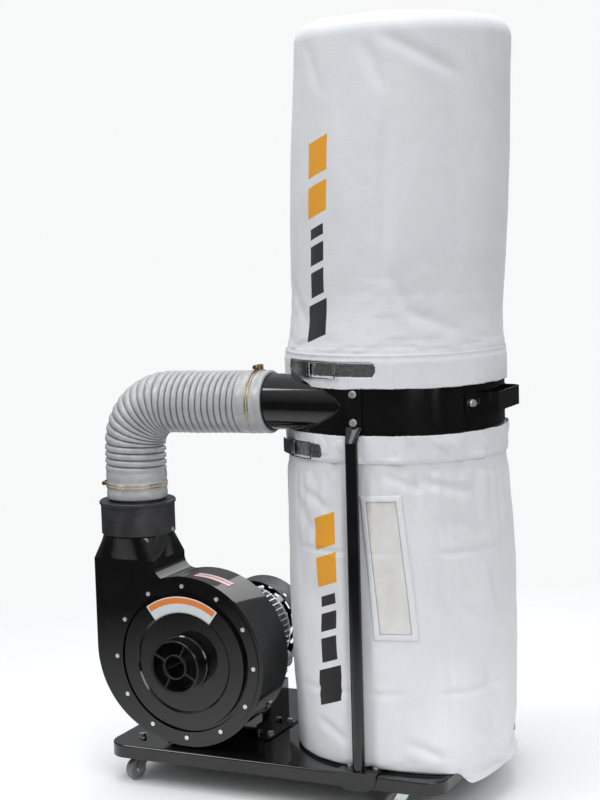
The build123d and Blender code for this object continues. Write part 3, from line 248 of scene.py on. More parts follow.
def plated(name, base, tint, roughness, streak=(1, 1, 1), scale=60, distance=0.0002):
    """Zinc, steel or aluminium: a mottled colour, streaky roughness and a shallow grain."""
    s = Shader(name, base, roughness, 0.95)
    mottle = s.noise(scale, 4, 0.6)
    s.colour(s.mix(s.remap(mottle, 0.35, 0.7, 0, 1), base, tint))
    s.roughness(s.remap(s.noise(scale * 3, 3, 0.6, streak), 0.3, 0.7, roughness * 0.7, roughness * 1.35))
    s.bump(s.noise(scale * 9, 2, 0.6, streak), 0.25, distance)
    return s.material


def moulded(name, base, roughness, grain=900, strength=0.12):
    """Moulded plastic or rubber: spark-eroded grain and faint handling marks."""
    s = Shader(name, base, roughness)
    rub = s.remap(s.noise(26, 4, 0.6), 0.42, 0.72, 0, 1)
    lighter = tuple(min(1, c * 1.35 + 0.012) for c in base)
    s.colour(s.mix(rub, base, lighter))
    s.roughness(s.remap(s.noise(45, 3, 0.6), 0.3, 0.7, roughness * 0.85, min(1, roughness * 1.2)))
    s.bump(s.noise(grain, 2, 0.5), strength, 0.0003)
    return s.material


def weave(s, strength):
    """A plain weave in the cloth's own coordinates, where u and v are metres."""
    uv = s.add("ShaderNodeUVMap", uv_map="cloth").outputs[0]
    threads = []
    for direction in ("X", "Y"):
        wave = s.add("ShaderNodeTexWave", wave_type="BANDS", bands_direction=direction)
        wave.inputs["Scale"].default_value = THREADS_PER_METRE / 20
        wave.inputs["Distortion"].default_value = 1.2
        wave.inputs["Detail"].default_value = 1.0
        s.link(uv, wave.inputs["Vector"])
        threads.append(wave.outputs["Fac"])
    both = s.math("MULTIPLY", threads[0], threads[1])
    s.bump(both, strength, 0.0003)
    return both


def cloth_material(name, base, shade):
    """White filter felt: weave, lint, faint grey handling marks and a soft sheen."""
    s = Shader(name, base, 0.9, Sheen_Weight=0.25, Sheen_Roughness=0.5, Specular_IOR_Level=0.2)
    marks = s.remap(s.noise(5.5, 6, 0.62), 0.45, 0.78, 0, 0.5)
    lint = s.remap(s.noise(260, 3, 0.6), 0.55, 0.8, 0, 0.35)
    toned = s.mix(marks, base, shade)
    s.colour(s.mix(lint, toned, tuple(c * 0.93 for c in shade)))
    weave(s, 0.35)
    s.bump(s.noise(900, 3, 0.6), 0.25, 0.0003)
    s.bump(s.noise(55, 4, 0.55), 0.22, 0.0012)
    return s


def between(s, value, low, high, soft):
    """1 where value is between low and high, fading out over soft."""
    rise = s.remap(value, low - soft, low + soft, 0, 1)
    fall = s.remap(value, high - soft, high + soft, 1, 0)
    return s.math("MULTIPLY", rise, fall, clamp=True)


def printed_cloth(name, base, shade, marks):
    """Cloth with a generic upright print: plain slanted bars, each (u, v low, v high, half width, colour)."""
    s = cloth_material(name, base, shade)
    uv = s.add("ShaderNodeUVMap", uv_map="cloth").outputs[0]
    split = s.add("ShaderNodeSeparateXYZ")
    s.link(uv, split.inputs[0])
    u, v = split.outputs[0], split.outputs[1]
    ragged = s.math("MULTIPLY", s.math("SUBTRACT", s.noise(600, 2, 0.5), 0.5), 0.0016)
    colour = s.bsdf.inputs["Base Color"].links[0].from_socket
    for mid_u, low, high, half_width, ink in marks:
        slant = s.math("MULTIPLY_ADD", s.math("SUBTRACT", u, mid_u), PRINT_SLANT)
        slant.node.inputs[2].default_value = 0
        along = s.math("ADD", s.math("SUBTRACT", v, slant), ragged)
        across = s.math("ADD", s.math("SUBTRACT", u, mid_u), ragged)
        inside = s.math("MULTIPLY", between(s, along, low, high, 0.0006), between(s, across, -half_width, half_width, 0.0006))
        colour = s.mix(inside, colour, ink)
    s.colour(colour)
    return s.material


def hose_material():
    """Grey PVC: glossy ribs, with the rib valleys painted dark: painted shade in the valleys, tinted brownish like
    dust.
    """
    s = Shader("hose_pvc", (0.44, 0.445, 0.45), 0.32, Specular_IOR_Level=0.5, Coat_Weight=0.15, Coat_Roughness=0.2)
    crest = s.attribute("crest")
    painted_valley_shade = s.remap(crest, 0.05, 0.62, 1, 0)
    mottled = s.mix(s.remap(s.noise(35, 4, 0.6), 0.35, 0.7, 0, 1), (0.40, 0.402, 0.40), (0.50, 0.51, 0.525))
    # painted shade: the colour goes to near-black brown in the rib valleys, where shade falls between the ribs
    s.colour(s.mix(painted_valley_shade, mottled, (0.045, 0.036, 0.03)))
    s.roughness(s.remap(s.noise(80, 3, 0.6), 0.3, 0.7, 0.24, 0.42))
    s.bump(s.noise(180, 3, 0.6), 0.18, 0.0006)
    return s.material


def film_material():
    s = Shader("window_film", (0.74, 0.73, 0.70), 0.22, Specular_IOR_Level=0.5, Coat_Weight=0.4, Coat_Roughness=0.12)
    haze = s.remap(s.noise(18, 5, 0.6, (1, 1, 0.4)), 0.35, 0.7, 0, 1)
    s.colour(s.mix(haze, (0.70, 0.69, 0.665), (0.82, 0.815, 0.80)))
    s.roughness(s.remap(s.noise(40, 4, 0.6), 0.3, 0.7, 0.16, 0.34))
    s.bump(s.noise(30, 3, 0.5, (1, 1, 0.3)), 0.35, 0.002)
    return s.material


def paper_material(name, face, edge_colour, stripe, stripe_colour):
    """A text-free sticker: its own u and v run from 0 to 1 over its face."""
    s = Shader(name, face, 0.35, Coat_Weight=0.3, Coat_Roughness=0.15)
    uv = s.add("ShaderNodeUVMap", uv_map="cloth").outputs[0]
    split = s.add("ShaderNodeSeparateXYZ")
    s.link(uv, split.inputs[0])
    u, v = split.outputs[0], split.outputs[1]
    grain = s.remap(s.noise(300, 3, 0.6), 0.4, 0.7, 0, 0.12)
    colour = s.mix(grain, face, tuple(0.8 * c for c in face))
    band = between(s, v, stripe[0], stripe[1], 0.01)
    colour = s.mix(band, colour, stripe_colour)
    inner = s.math("MULTIPLY", between(s, u, 0.02, 0.98, 0.004), between(s, v, 0.06, 0.94, 0.01))
    colour = s.mix(inner, edge_colour, colour)
    s.colour(colour)
    s.bump(s.noise(500, 2, 0.5), 0.05, 0.0002)
    return s.material


def floor_material():
    """Pale paper that takes the object's shadow, and fades into the white backdrop further out."""
    s = Shader("studio_paper", (0.90, 0.905, 0.91), 0.75)
    s.colour(s.mix(s.noise(3, 3, 0.5), (0.90, 0.905, 0.91), (0.92, 0.92, 0.925)))
    reach = s.add("ShaderNodeVectorMath", operation="LENGTH")
    s.link(s.coordinates, reach.inputs[0])
    clear = s.add("ShaderNodeBsdfTransparent")
    blend = s.add("ShaderNodeMixShader")
    s.link(s.remap(reach.outputs["Value"], 0.75, 2.2, 0, 1), blend.inputs["Fac"])
    s.link(s.bsdf.outputs[0], blend.inputs[1])
    s.link(clear.outputs[0], blend.inputs[2])
    s.link(blend.outputs[0], s.tree.nodes["Material Output"].inputs["Surface"])
    return s.material


THREADS_PER_METRE = 650
PRINT_SLANT = 0.35
INK = (0.018, 0.017, 0.017)
AMBER = (0.83, 0.36, 0.02)
CLOTH_WHITE = (0.76, 0.775, 0.80)
CLOTH_GREY = (0.64, 0.655, 0.685)
GIRTH_R = 0.25


def print_marks(mid_angle, bars):
    """Bars one above another; each is (low, high, half width, ink)."""
    mid_u = math.radians(mid_angle) * GIRTH_R
    return [(mid_u, low, high, half, ink) for low, high, half, ink in bars]


UPPER_PRINT = print_marks(-24.5, ((1.055, 1.135, 0.030, INK), (1.150, 1.205, 0.022, INK), (1.220, 1.262, 0.022, INK),
                                  (1.277, 1.300, 0.022, INK), (1.325, 1.392, 0.030, AMBER), (1.412, 1.488, 0.030, AMBER)))
LOWER_PRINT = print_marks(-19.0, ((0.245, 0.325, 0.030, INK), (0.340, 0.395, 0.022, INK), (0.410, 0.450, 0.022, INK),
                                  (0.465, 0.488, 0.022, INK), (0.510, 0.575, 0.030, AMBER), (0.592, 0.662, 0.030, AMBER)))

MATERIALS = {
    "gloss_black": coated_metal("gloss_black_coat", (0.0045, 0.0043, 0.0045), 0.05, 0.12, 0.018, 0.015),
    "base_black": coated_metal("tray_black_coat", (0.0055, 0.0053, 0.0055), 0.05, 0.12, 0.03, 0.02),
    "satin_black": moulded("satin_black_plastic", (0.022, 0.022, 0.024), 0.42),
    "cowl_grey": moulded("cowl_grey_coat", (0.045, 0.046, 0.05), 0.4),
    "zinc": plated("bright_zinc", (0.66, 0.70, 0.70), (0.50, 0.56, 0.57), 0.22),
    "latch_zinc": plated("latch_zinc", (0.62, 0.66, 0.65), (0.34, 0.38, 0.39), 0.26, scale=130),
    "lever_zinc": plated("lever_zinc", (0.34, 0.37, 0.37), (0.16, 0.18, 0.19), 0.2, scale=160),
    "screw_zinc": plated("screw_zinc", (0.90, 0.92, 0.92), (0.78, 0.81, 0.81), 0.38),
    "yellow_zinc": plated("yellow_zinc", (0.55, 0.40, 0.16), (0.42, 0.34, 0.30), 0.28),
    "cast": plated("cast_aluminium", (0.82, 0.83, 0.84), (0.68, 0.69, 0.71), 0.42, scale=40, distance=0.0005),
    "machined": plated("machined_steel", (0.60, 0.60, 0.62), (0.48, 0.48, 0.50), 0.2, (1, 40, 1)),
    "laminated": plated("laminated_steel", (0.42, 0.43, 0.45), (0.30, 0.31, 0.33), 0.36, (1, 60, 1)),
    "wheel_grey": moulded("wheel_grey_rubber", (0.16, 0.165, 0.172), 0.5, 700),
    "plastic_grey": moulded("grey_plastic", (0.36, 0.37, 0.38), 0.4),
    "red": moulded("switch_red", (0.55, 0.02, 0.015), 0.28, 500, 0.05),
    "upper_cloth": printed_cloth("filter_cloth", CLOTH_WHITE, CLOTH_GREY, UPPER_PRINT),
    "lower_cloth": printed_cloth("collection_cloth", (0.75, 0.765, 0.785), CLOTH_GREY, LOWER_PRINT),
    "hem_cloth": cloth_material("hem_cloth", CLOTH_WHITE, CLOTH_GREY).material,
    "thread": moulded("sewing_thread", (0.62, 0.63, 0.65), 0.8, 2500, 0.4),
    "hose": hose_material(),
    "film": film_material(),
    "label": paper_material("cover_label", (0.66, 0.70, 0.71), (0.72, 0.70, 0.66), (0.58, 0.97), (0.74, 0.22, 0.045)),
    "tag": paper_material("wrap_tag", (0.78, 0.70, 0.70), (0.55, 0.03, 0.05), (0.40, 0.60), (0.62, 0.10, 0.12)),
    "floor": floor_material(),
}

FINISH = {
    "gloss_black": ("drum_ring", "inlet_tube", "ring_handle", "post_front", "post_rear", "blower_housing",
                    "blower_cover", "inlet_pipe", "motor_stand"),
    "base_black": ("base_plate",),
    "satin_black": ("inlet_guard", "outlet_collar", "terminal_box", "terminal_box_lid", "cable_gland",
                    "switch_bezel", "cooling_fan"),
    "cowl_grey": ("fan_cowl",),
    "screw_zinc": ("cover_screws", "collar_screws", "handle_bolts", "post_top_bolts", "post_foot_bolts",
                   "motor_stand_bolts", "motor_foot_bolts", "cowl_screws", "impeller_bolt"),
    "latch_zinc": ("upper_clamp_band", "lower_clamp_band"),
    "lever_zinc": ("upper_latch_lever", "lower_latch_lever", "upper_latch_bail", "lower_latch_bail"),
    "zinc": ("caster_stems", "caster_nuts", "caster_fork_front_left", "caster_fork_front_right", "caster_fork_rear_left", "caster_fork_rear_right"),
    "yellow_zinc": ("hose_clamp_lower", "hose_clamp_upper"),
    "cast": ("motor_frame", "motor_front_bell", "motor_rear_bell", "capacitor", "impeller"),
    "machined": ("motor_shaft", "motor_bearings"),
    "laminated": ("motor_rotor", "motor_stator"),
    "wheel_grey": ("caster_wheel_front_left", "caster_wheel_front_right", "caster_wheel_rear_left",
                   "caster_wheel_rear_right"),
    "plastic_grey": ("capacitor_cover",),
    "red": ("switch_rocker",),
}


def finish_cad_nodes():
    for key, names in FINISH.items():
        for name in names:
            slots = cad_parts[name].data.materials
            slots.clear()
            slots.append(MATERIALS[key])


# ---------------------------------------------------------------- mesh helpers
def mesh_object(name, points, faces, smooth=False):
    mesh = bpy.data.meshes.new(name)
    mesh.from_pydata([tuple(p) for p in points], [], faces)
    mesh.update()
    if smooth:
        mesh.polygons.foreach_set("use_smooth", [True] * len(mesh.polygons))
    made = bpy.data.objects.new(name, mesh)
    scene.collection.objects.link(made)
    return made


def grid_faces(rows, columns, wrap, start=0, flip=False):
    faces = []
    for i in range(rows - 1):
        for j in range(columns if wrap else columns - 1):
            k = (j + 1) % columns
            face = [start + i * columns + j, start + i * columns + k, start + (i + 1) * columns + k,
                    start + (i + 1) * columns + j]
            faces.append(tuple(reversed(face)) if flip else tuple(face))
    return faces


def grid_normals(grid, wrap):
    """Outward unit normals of a rows x columns x 3 grid whose columns run round and whose rows run up."""
    if wrap:
        along = np.roll(grid, -1, axis=1) - np.roll(grid, 1, axis=1)
    else:
        along = np.gradient(grid, axis=1)
    up = np.gradient(grid, axis=0)
    normal = np.cross(along, up)
    return normal / np.maximum(np.linalg.norm(normal, axis=2, keepdims=True), 1e-12)


def shell_from_grid(name, grid, thickness, wrap, uv=None, outer_lift=0.0, skip=None):
    """A closed thin shell: the grid is its outer face, and its inner face lies thickness inside."""
    rows, columns, _ = grid.shape
    normal = grid_normals(grid, wrap)
    outer = grid + normal * outer_lift
    inner = outer - normal * thickness
    count = rows * columns
    points = np.concatenate([outer.reshape(-1, 3), inner.reshape(-1, 3)])
    quads = [q for q in grid_faces(rows, columns, wrap) if skip is None or not skip(*divmod(q[0], columns))]
    edges = {}
    for q in quads:
        for a, b in zip(q, q[1:] + q[:1]):
            edges[(a, b)] = True
    rim = [(b, a, a + count, b + count) for a, b in edges if (b, a) not in edges]
    faces = quads + [tuple(reversed([i + count for i in q])) for q in quads] + rim
    used = sorted({i for f in faces for i in f})
    place = {old: new for new, old in enumerate(used)}
    made = mesh_object(name, points[used], [tuple(place[i] for i in f) for f in faces], smooth=True)
    if uv is not None:
        flat = uv.reshape(-1, 2)
        layer = made.data.uv_layers.new(name="cloth")
        u_span = flat[:, 0].max() - flat[:, 0].min()
        for polygon in made.data.polygons:
            corners = [flat[used[made.data.loops[i].vertex_index] % count] for i in polygon.loop_indices]
            high = max(c[0] for c in corners)
            for i, c in zip(polygon.loop_indices, corners):
                lap = u_span * columns / (columns - 1) if wrap and high - c[0] > u_span / 2 else 0
                layer.data[i].uv = (c[0] + lap, c[1])
    return made


def swept(name, line, radius, sides=10, closed=False):
    """A round bead along a list of points."""
    line = [Vector(p) for p in line]
    points, faces = [], []
    count = len(line)
    side = None
    for i, p in enumerate(line):
        ahead = line[(i + 1) % count] if closed or i < count - 1 else p
        behind = line[i - 1] if closed or i > 0 else p
        tangent = (ahead - behind).normalized()
        if side is None:
            side = tangent.orthogonal().normalized()
        side = (side - tangent * side.dot(tangent)).normalized()
        other = tangent.cross(side)
        for k in range(sides):
            a = math.tau * k / sides
            points.append(p + radius * (math.cos(a) * side + math.sin(a) * other))
    for i in range(count if closed else count - 1):
        n = (i + 1) % count
        for k in range(sides):
            m = (k + 1) % sides
            faces.append((i * sides + k, i * sides + m, n * sides + m, n * sides + k))
    if not closed:
        faces.append(tuple(reversed(range(sides))))
        faces.append(tuple((count - 1) * sides + k for k in range(sides)))
    return mesh_object(name, points, faces, smooth=True)


def joined(name, parts):
    """Joins meshes into the first one."""
    for o in bpy.context.selected_objects:
        o.select_set(False)
    for o in parts:
        o.select_set(True)
    bpy.context.view_layer.objects.active = parts[0]
    bpy.ops.object.join()
    parts[0].name = name
    parts[0].data.name = name
    return parts[0]


def stitches(name, line, normal_of, pitch, length, radius, lift):
    """Short thread stitches along a line, each bowed a little out of the cloth."""
    line = [Vector(p) for p in line]
    run = [0.0]
    for a, b in zip(line, line[1:]):
        run.append(run[-1] + (b - a).length)

    def at(distance):
        i = min(max(np.searchsorted(run, distance) - 1, 0), len(line) - 2)
        share = (distance - run[i]) / max(run[i + 1] - run[i], 1e-9)
        return line[i].lerp(line[i + 1], share)

    parts = []
    for k in range(int(run[-1] / pitch)):
        middle = (k + 0.5) * pitch
        bow = [(-0.5, -0.4), (-0.25, 0.6), (0.25, 0.6), (0.5, -0.4)]
        parts.append([at(middle + share * length) + normal_of(at(middle)) * (lift + radius * rise) for share, rise in bow])
    points, faces = [], []
    sides = 5
    for bead in parts:
        base = len(points)
        for i, p in enumerate(bead):
            ahead = bead[min(i + 1, 3)] - bead[max(i - 1, 0)]
            out = normal_of(p)
            side = ahead.cross(out).normalized()
            for s in range(sides):
                a = math.tau * s / sides
                points.append(p + radius * (math.cos(a) * side + math.sin(a) * out))
        for i in range(3):
            for s in range(sides):
                m = (s + 1) % sides
                faces.append((base + i * sides + s, base + i * sides + m, base + (i + 1) * sides + m,
                              base + (i + 1) * sides + s))
        faces.append(tuple(base + s for s in reversed(range(sides))))
        faces.append(tuple(base + 3 * sides + s for s in range(sides)))
    made = mesh_object(name, points, faces, smooth=True)
    made.data.materials.append(MATERIALS["thread"])
    return made


def outward(p):
    """The level direction away from the drum's axis."""
    return Vector((p[0] - AXIS.x, p[1] - AXIS.y, 0)).normalized()


def around(angle, radius, z):
    """A point at an angle in degrees round the drum, from -Y towards +X."""
    a = math.radians(angle)
    return Vector((AXIS.x + radius * math.sin(a), AXIS.y - radius * math.cos(a), z))


def smooth_step(x):
    x = np.clip(x, 0, 1)
    return x * x * (3 - 2 * x)


# ---------------------------------------------------------------- cloth bags
CLOTH_THICK = 0.0015
COLUMNS = 288
SIM_COLUMNS = 96
VIEW_RIGHT = Vector((math.cos(CAMERA_YAW), math.sin(CAMERA_YAW), 0))
HEM_R = RING_R + 0.0018


def fractal(x, y, z, octaves=3):
    return noise.fractal(Vector((x, y, z)), 1.0, 2.0, octaves)


def crease_depth(angle, z, ends, depth, width, bank=0.6):
    """A pinched fold from one (angle, z) to another: a narrow valley with a soft bank on each side."""
    (a0, z0), (a1, z1) = ends
    x = math.radians(1) * GIRTH_R * (angle - a0)
    y = z - z0
    run_x = math.radians(a1 - a0) * GIRTH_R
    run_y = z1 - z0
    long = math.hypot(run_x, run_y)
    along = (x * run_x + y * run_y) / long
    across = (x * run_y - y * run_x) / long
    fade = smooth_step(along / (0.3 * long)) * smooth_step((long - along) / (0.3 * long))
    painted_valley_shade = np.exp(-(across / width) ** 2)
    banks = np.exp(-((across - 2.1 * width) / (1.3 * width)) ** 2) + np.exp(-((across + 2.1 * width) / (1.3 * width)) ** 2)
    return fade * depth * (bank * 0.5 * banks - painted_valley_shade)


def relax_as_cloth(grid, pinned_rows, pressure, gravity, spare, frames, cap):
    """Runs Blender's cloth on a coarse copy of the grid, and returns how far each grid point moved."""
    rows, columns, _ = grid.shape
    step = columns // SIM_COLUMNS
    coarse = grid[::3, ::step]
    r, c, _ = coarse.shape
    sheet = mesh_object("cloth_try", coarse.reshape(-1, 3), grid_faces(r, c, True))
    group = sheet.vertex_groups.new(name="held")
    held = [i * c + j for i in range(r) if i * 3 in pinned_rows or i * 3 + 1 in pinned_rows for j in range(c)]
    group.add(held, 1.0, "REPLACE")
    cloth = sheet.modifiers.new("cloth", "CLOTH")
    settings = cloth.settings
    settings.vertex_group_mass = "held"
    settings.quality = 6
    settings.mass = 0.3
    settings.tension_stiffness = 18
    settings.compression_stiffness = 12
    settings.shear_stiffness = 6
    settings.bending_stiffness = 0.25
    settings.use_pressure = True
    settings.uniform_pressure_force = pressure
    settings.shrink_min = -spare
    settings.effector_weights.gravity = gravity
    cloth.collision_settings.use_collision = False
    cloth.point_cache.frame_start = 1
    cloth.point_cache.frame_end = frames
    for frame_number in range(1, frames + 1):
        scene.frame_set(frame_number)
    settled = sheet.evaluated_get(bpy.context.evaluated_depsgraph_get()).to_mesh()
    after = np.zeros(r * c * 3, np.float32)
    settled.vertices.foreach_get("co", after)
    moved = after.reshape(r, c, 3).astype(float) - coarse
    bpy.data.objects.remove(sheet)
    scene.frame_set(1)
    size = np.linalg.norm(moved, axis=2, keepdims=True)
    moved *= np.minimum(1, cap / np.maximum(size, 1e-9))
    return spread_rows(spread_columns(moved, step, columns), rows)


def spread_columns(field, step, columns):
    """Fills in a wrapped field between its coarse columns, smoothly."""
    full = np.zeros((field.shape[0], columns, 3))
    for k in range(step):
        t = smooth_step(k / step) * 0.5 + 0.5 * k / step
        full[:, k::step] = (1 - t) * field + t * np.roll(field, -1, axis=1)
    return full


def spread_rows(field, rows):
    full = np.zeros((rows, field.shape[1], 3))
    for i in range(rows):
        place = min(i / 3, field.shape[0] - 1)
        low = min(int(place), field.shape[0] - 2)
        t = place - low
        full[i] = (1 - t) * field[low] + t * field[low + 1]
    return full


def bag_grid(profile, centre_of):
    """Rows of points from a profile of (share of the radius, z) callables of the angle."""
    angles = np.arange(COLUMNS) * 360 / COLUMNS
    grid = np.zeros((len(profile), COLUMNS, 3))
    for i, (radius_of, z_of) in enumerate(profile):
        radius = radius_of(angles)
        z = z_of(angles) * np.ones(COLUMNS)
        shift_x, shift_y = centre_of(z)
        grid[i, :, 0] = AXIS.x + shift_x + radius * np.sin(np.radians(angles))
        grid[i, :, 1] = AXIS.y + shift_y - radius * np.cos(np.radians(angles))
        grid[i, :, 2] = z
    return angles, grid


def cloth_uv(angles, lengths):
    """u is the distance round the drum from -Y, and v the distance up the cloth."""
    turned = np.where(angles > 180, angles - 360, angles)
    u = np.radians(turned) * GIRTH_R
    return np.stack(np.meshgrid(u, lengths), axis=2)


FILTER_BOTTOM = filter_low.z
FILTER_TOP = filter_high.z
FILTER_R = 0.2432
RIM_R = 0.046
SIDE_ROWS = 246
RIM_ROWS = 15
DOME_ROWS = 36
LEAN = 0.0305


def lean_of(z):
    share = np.clip((z - ring_high.z) / (FILTER_TOP - ring_high.z), 0, 1) ** 0.85
    return LEAN * share * VIEW_RIGHT.x, LEAN * share * VIEW_RIGHT.y


def filter_radius(angle, z):
    """The full bag: as wide as the ring at the hem, slightly waisted above it and square-shouldered."""
    above = np.clip((z - ring_high.z) / 0.12, 0, 1)
    radius = HEM_R + (FILTER_R - HEM_R) * smooth_step(above)
    belly = 0.004 * np.sin(math.pi * np.clip((z - 1.15) / 0.5, 0, 1))
    return radius + belly + 0.0015 * np.cos(np.radians(2 * angle - 50))


FILTER_CREASES = (
    (((6, 1.702), (58, 1.590)), 0.0034, 0.013),
    (((2, 1.690), (14, 1.560)), 0.0034, 0.014),
    (((14, 1.58), (15.5, 1.10)), 0.0032, 0.012),
    (((16, 1.20), (34, 1.06)), 0.0030, 0.010),
    (((48, 1.56), (54, 1.16)), 0.0026, 0.014),
    (((-38, 1.70), (-22, 1.56)), 0.0022, 0.015),
    (((58, 1.66), (76, 1.48)), 0.0026, 0.016),
    (((-60, 1.20), (-30, 1.06)), 0.0022, 0.014),
    (((22, 1.115), (62, 1.050)), 0.0028, 0.012),
    (((118, 1.60), (150, 1.42)), 0.0032, 0.014),
    (((170, 1.66), (205, 1.52)), 0.0030, 0.015),
    (((222, 1.30), (246, 1.12)), 0.0028, 0.014),
    (((262, 1.68), (292, 1.54)), 0.0032, 0.014),
)


def wrapped(angles):
    """Angles as a crease list writes them, from -90 to 270."""
    return np.where(angles > 270, angles - 360, angles)


def press_in(grid, angles, creases, pucker, waves, keep_rows):
    """Adds the folds: pinched creases, gathers next to the hem and broad uneven waves."""
    normal = grid_normals(grid, True)
    written = wrapped(angles)
    depth = np.zeros(grid.shape[:2])
    for i in range(grid.shape[0]):
        z = grid[i, :, 2]
        for ends, deep, width in creases:
            depth[i] += crease_depth(written, z, ends, deep, width)
        for j in range(grid.shape[1]):
            a = math.radians(angles[j])
            x, y = math.cos(a), math.sin(a)
            broad = fractal(2.2 * x + 5, 2.2 * y, z[j] * 3.2, 3)
            fine = fractal(7 * x, 7 * y + 3, z[j] * 13, 2)
            depth[i, j] += waves * (broad + 0.28 * fine)
        depth[i] += pucker(angles, z)
    fade = np.clip((np.arange(grid.shape[0]) - keep_rows) / 8, 0, 1)[:, None]
    return grid + normal * (depth * fade)[:, :, None]


def filter_pucker(angles, z):
    """Small gathers in the cloth just above the hem."""
    a = np.radians(angles)
    gathers = np.sin(23 * a + 1.3 * np.sin(5 * a)) * 0.6 + np.sin(41 * a + 2 * np.sin(3 * a)) * 0.4
    height = z - HEM_SEAM_Z
    return 0.0016 * gathers * np.exp(-np.clip(height, 0, 1) / 0.03) * np.clip(height / 0.012, 0, 1)


HEM_SEAM_Z = 1.0105


def filter_profile():
    rows = []
    shoulder = FILTER_TOP - 0.010 - RIM_R
    for z in np.linspace(FILTER_BOTTOM, shoulder, SIDE_ROWS):
        rows.append((lambda a, z=z: filter_radius(a, z), lambda a, z=z: z))
    edge = lambda a: filter_radius(a, shoulder) - RIM_R
    for t in np.linspace(0, math.pi / 2, RIM_ROWS + 1)[1:]:
        rows.append((lambda a, t=t: edge(a) + RIM_R * math.cos(t), lambda a, t=t: shoulder + RIM_R * math.sin(t)))
    for share in np.linspace(1, 0.004, DOME_ROWS + 1)[1:]:
        rise = 0.009 * (1 - share ** 2)
        rows.append((lambda a, share=share: edge(a) * share,
                     lambda a, rise=rise: shoulder + RIM_R + rise))
    return rows


def profile_lengths(grid):
    step = np.linalg.norm(np.diff(grid[:, 0], axis=0), axis=1)
    return grid[0, 0, 2] + np.concatenate([[0], np.cumsum(step)])


def make_filter_bag():
    angles, grid = bag_grid(filter_profile(), lean_of)
    uv = cloth_uv(angles, profile_lengths(grid))
    hem_rows = int(np.searchsorted(grid[:SIDE_ROWS, 0, 2], ring_high.z + 0.004))
    moved = relax_as_cloth(grid, range(hem_rows + 1), 1.4, 0.15, 0.012, 24, 0.009)
    calm = np.clip((np.arange(grid.shape[0]) - hem_rows) / 12, 0, 1)[:, None, None]
    grid = grid + moved * calm
    grid = press_in(grid, angles, FILTER_CREASES, filter_pucker, 0.0026, hem_rows)
    bag = shell_from_grid("filter_bag_cloth", grid, CLOTH_THICK, True, uv)
    bag.data.materials.append(MATERIALS["upper_cloth"])
    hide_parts("filter_bag")
    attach(bag, "root")


# ---------------------------------------------------------------- collection bag
BAG_R = 0.2515
BAG_TOP = bag_high.z
TRAY_TOP = tray_high.z
DROOP_Z = bag_low.z + 0.017
DROOP_EDGE = tray_high.x + 0.0045
LOWER_ROWS = 225
FLOOR_ROWS = 60
CASTER_NUT_ANGLES = (24.1, 155.9)
CASTER_NUT_R = 0.232
NUT_LIFT = 0.0145
SLUMP = 0.043
CLOTH_GAP = 0.0012
FOOT_ANGLES = (0, 180)


def from_angle(angles, middle):
    return np.abs((angles - middle + 180) % 360 - 180)


def bag_centre(z):
    share = smooth_step((ring_low.z - z) / 0.35)
    return 0.0085 * share, 0.003 * share


def bag_radius(angles, z):
    """Full below the ring, flattened by the posts on both sides, and drawn in at the bottom."""
    below = np.clip((ring_low.z - 0.006 - z) / 0.06, 0, 1)
    radius = HEM_R + (BAG_R - HEM_R) * smooth_step(below)
    belly = 0.0045 * np.sin(math.pi * np.clip((z - 0.12) / 0.55, 0, 1))
    side = 1 - np.exp(-(from_angle(angles, 0) / 16) ** 2) - np.exp(-(from_angle(angles, 180) / 16) ** 2)
    sag = 0.006 * np.exp(-((z - 0.165) / 0.05) ** 2) * np.exp(-(from_angle(angles, 62) / 34) ** 2)
    slump = 0.9 * SLUMP * corner_bulge(angles) * smooth_step((0.40 - z) / 0.28)
    limit = 0.2472 + 0.02 * np.clip(side, 0, 1)
    return np.minimum(radius + (belly + sag) * np.clip(side, 0, 1), limit) + slump


def corner_bulge(angles):
    """1 where the full bag slumps outwards at the tray's front corner."""
    return np.exp(-(from_angle(angles, 45) / 22) ** 2)


def over_edge(angles):
    """1 where the bag hangs over the tray's end, 0 where it stands on the tray."""
    x = AXIS.x + (0.240 + SLUMP * corner_bulge(angles)) * np.sin(np.radians(angles))
    return smooth_step((x - DROOP_EDGE + 0.004) / 0.022)


def bottom_of(angles):
    """The height of the bag's lowest edge, on the tray or over its end."""
    return TRAY_TOP + CLOTH_GAP + over_edge(angles) * (DROOP_Z - TRAY_TOP)


def toe_radius(angles):
    """How wide the bag is where it meets the tray, drawn in at the post feet."""
    radius = 0.247 + 0.006 * over_edge(angles) + SLUMP * corner_bulge(angles)
    radius = radius + 0.012 * np.exp(-(from_angle(angles, 155.9) / 10) ** 2)
    for middle in FOOT_ANGLES:
        radius = radius - 0.023 * np.exp(-(from_angle(angles, middle) / 13) ** 4)
    return radius


def collection_profile():
    rows = []
    corner = 0.030
    for share in np.linspace(0, 1, LOWER_ROWS):
        rows.append((lambda a, s=share: bag_radius(a, BAG_TOP + s * (bottom_of(a) + corner - BAG_TOP)),
                     lambda a, s=share: BAG_TOP + s * (bottom_of(a) + corner - BAG_TOP)))
    last = lambda a: bag_radius(a, bottom_of(a) + corner)
    for t in np.linspace(0, math.pi / 2, 12)[1:]:
        rows.append((lambda a, t=t: toe_radius(a) - 0.004 + (last(a) - toe_radius(a) + 0.004) * math.cos(t),
                     lambda a, t=t: bottom_of(a) + corner * (1 - math.sin(t))))
    for share in np.linspace(1, 0.004, FLOOR_ROWS + 1)[1:]:
        rows.append((lambda a, s=share: (toe_radius(a) - 0.004) * s,
                     lambda a, s=share: floor_height(a, (toe_radius(a) - 0.004) * s)))
    return rows


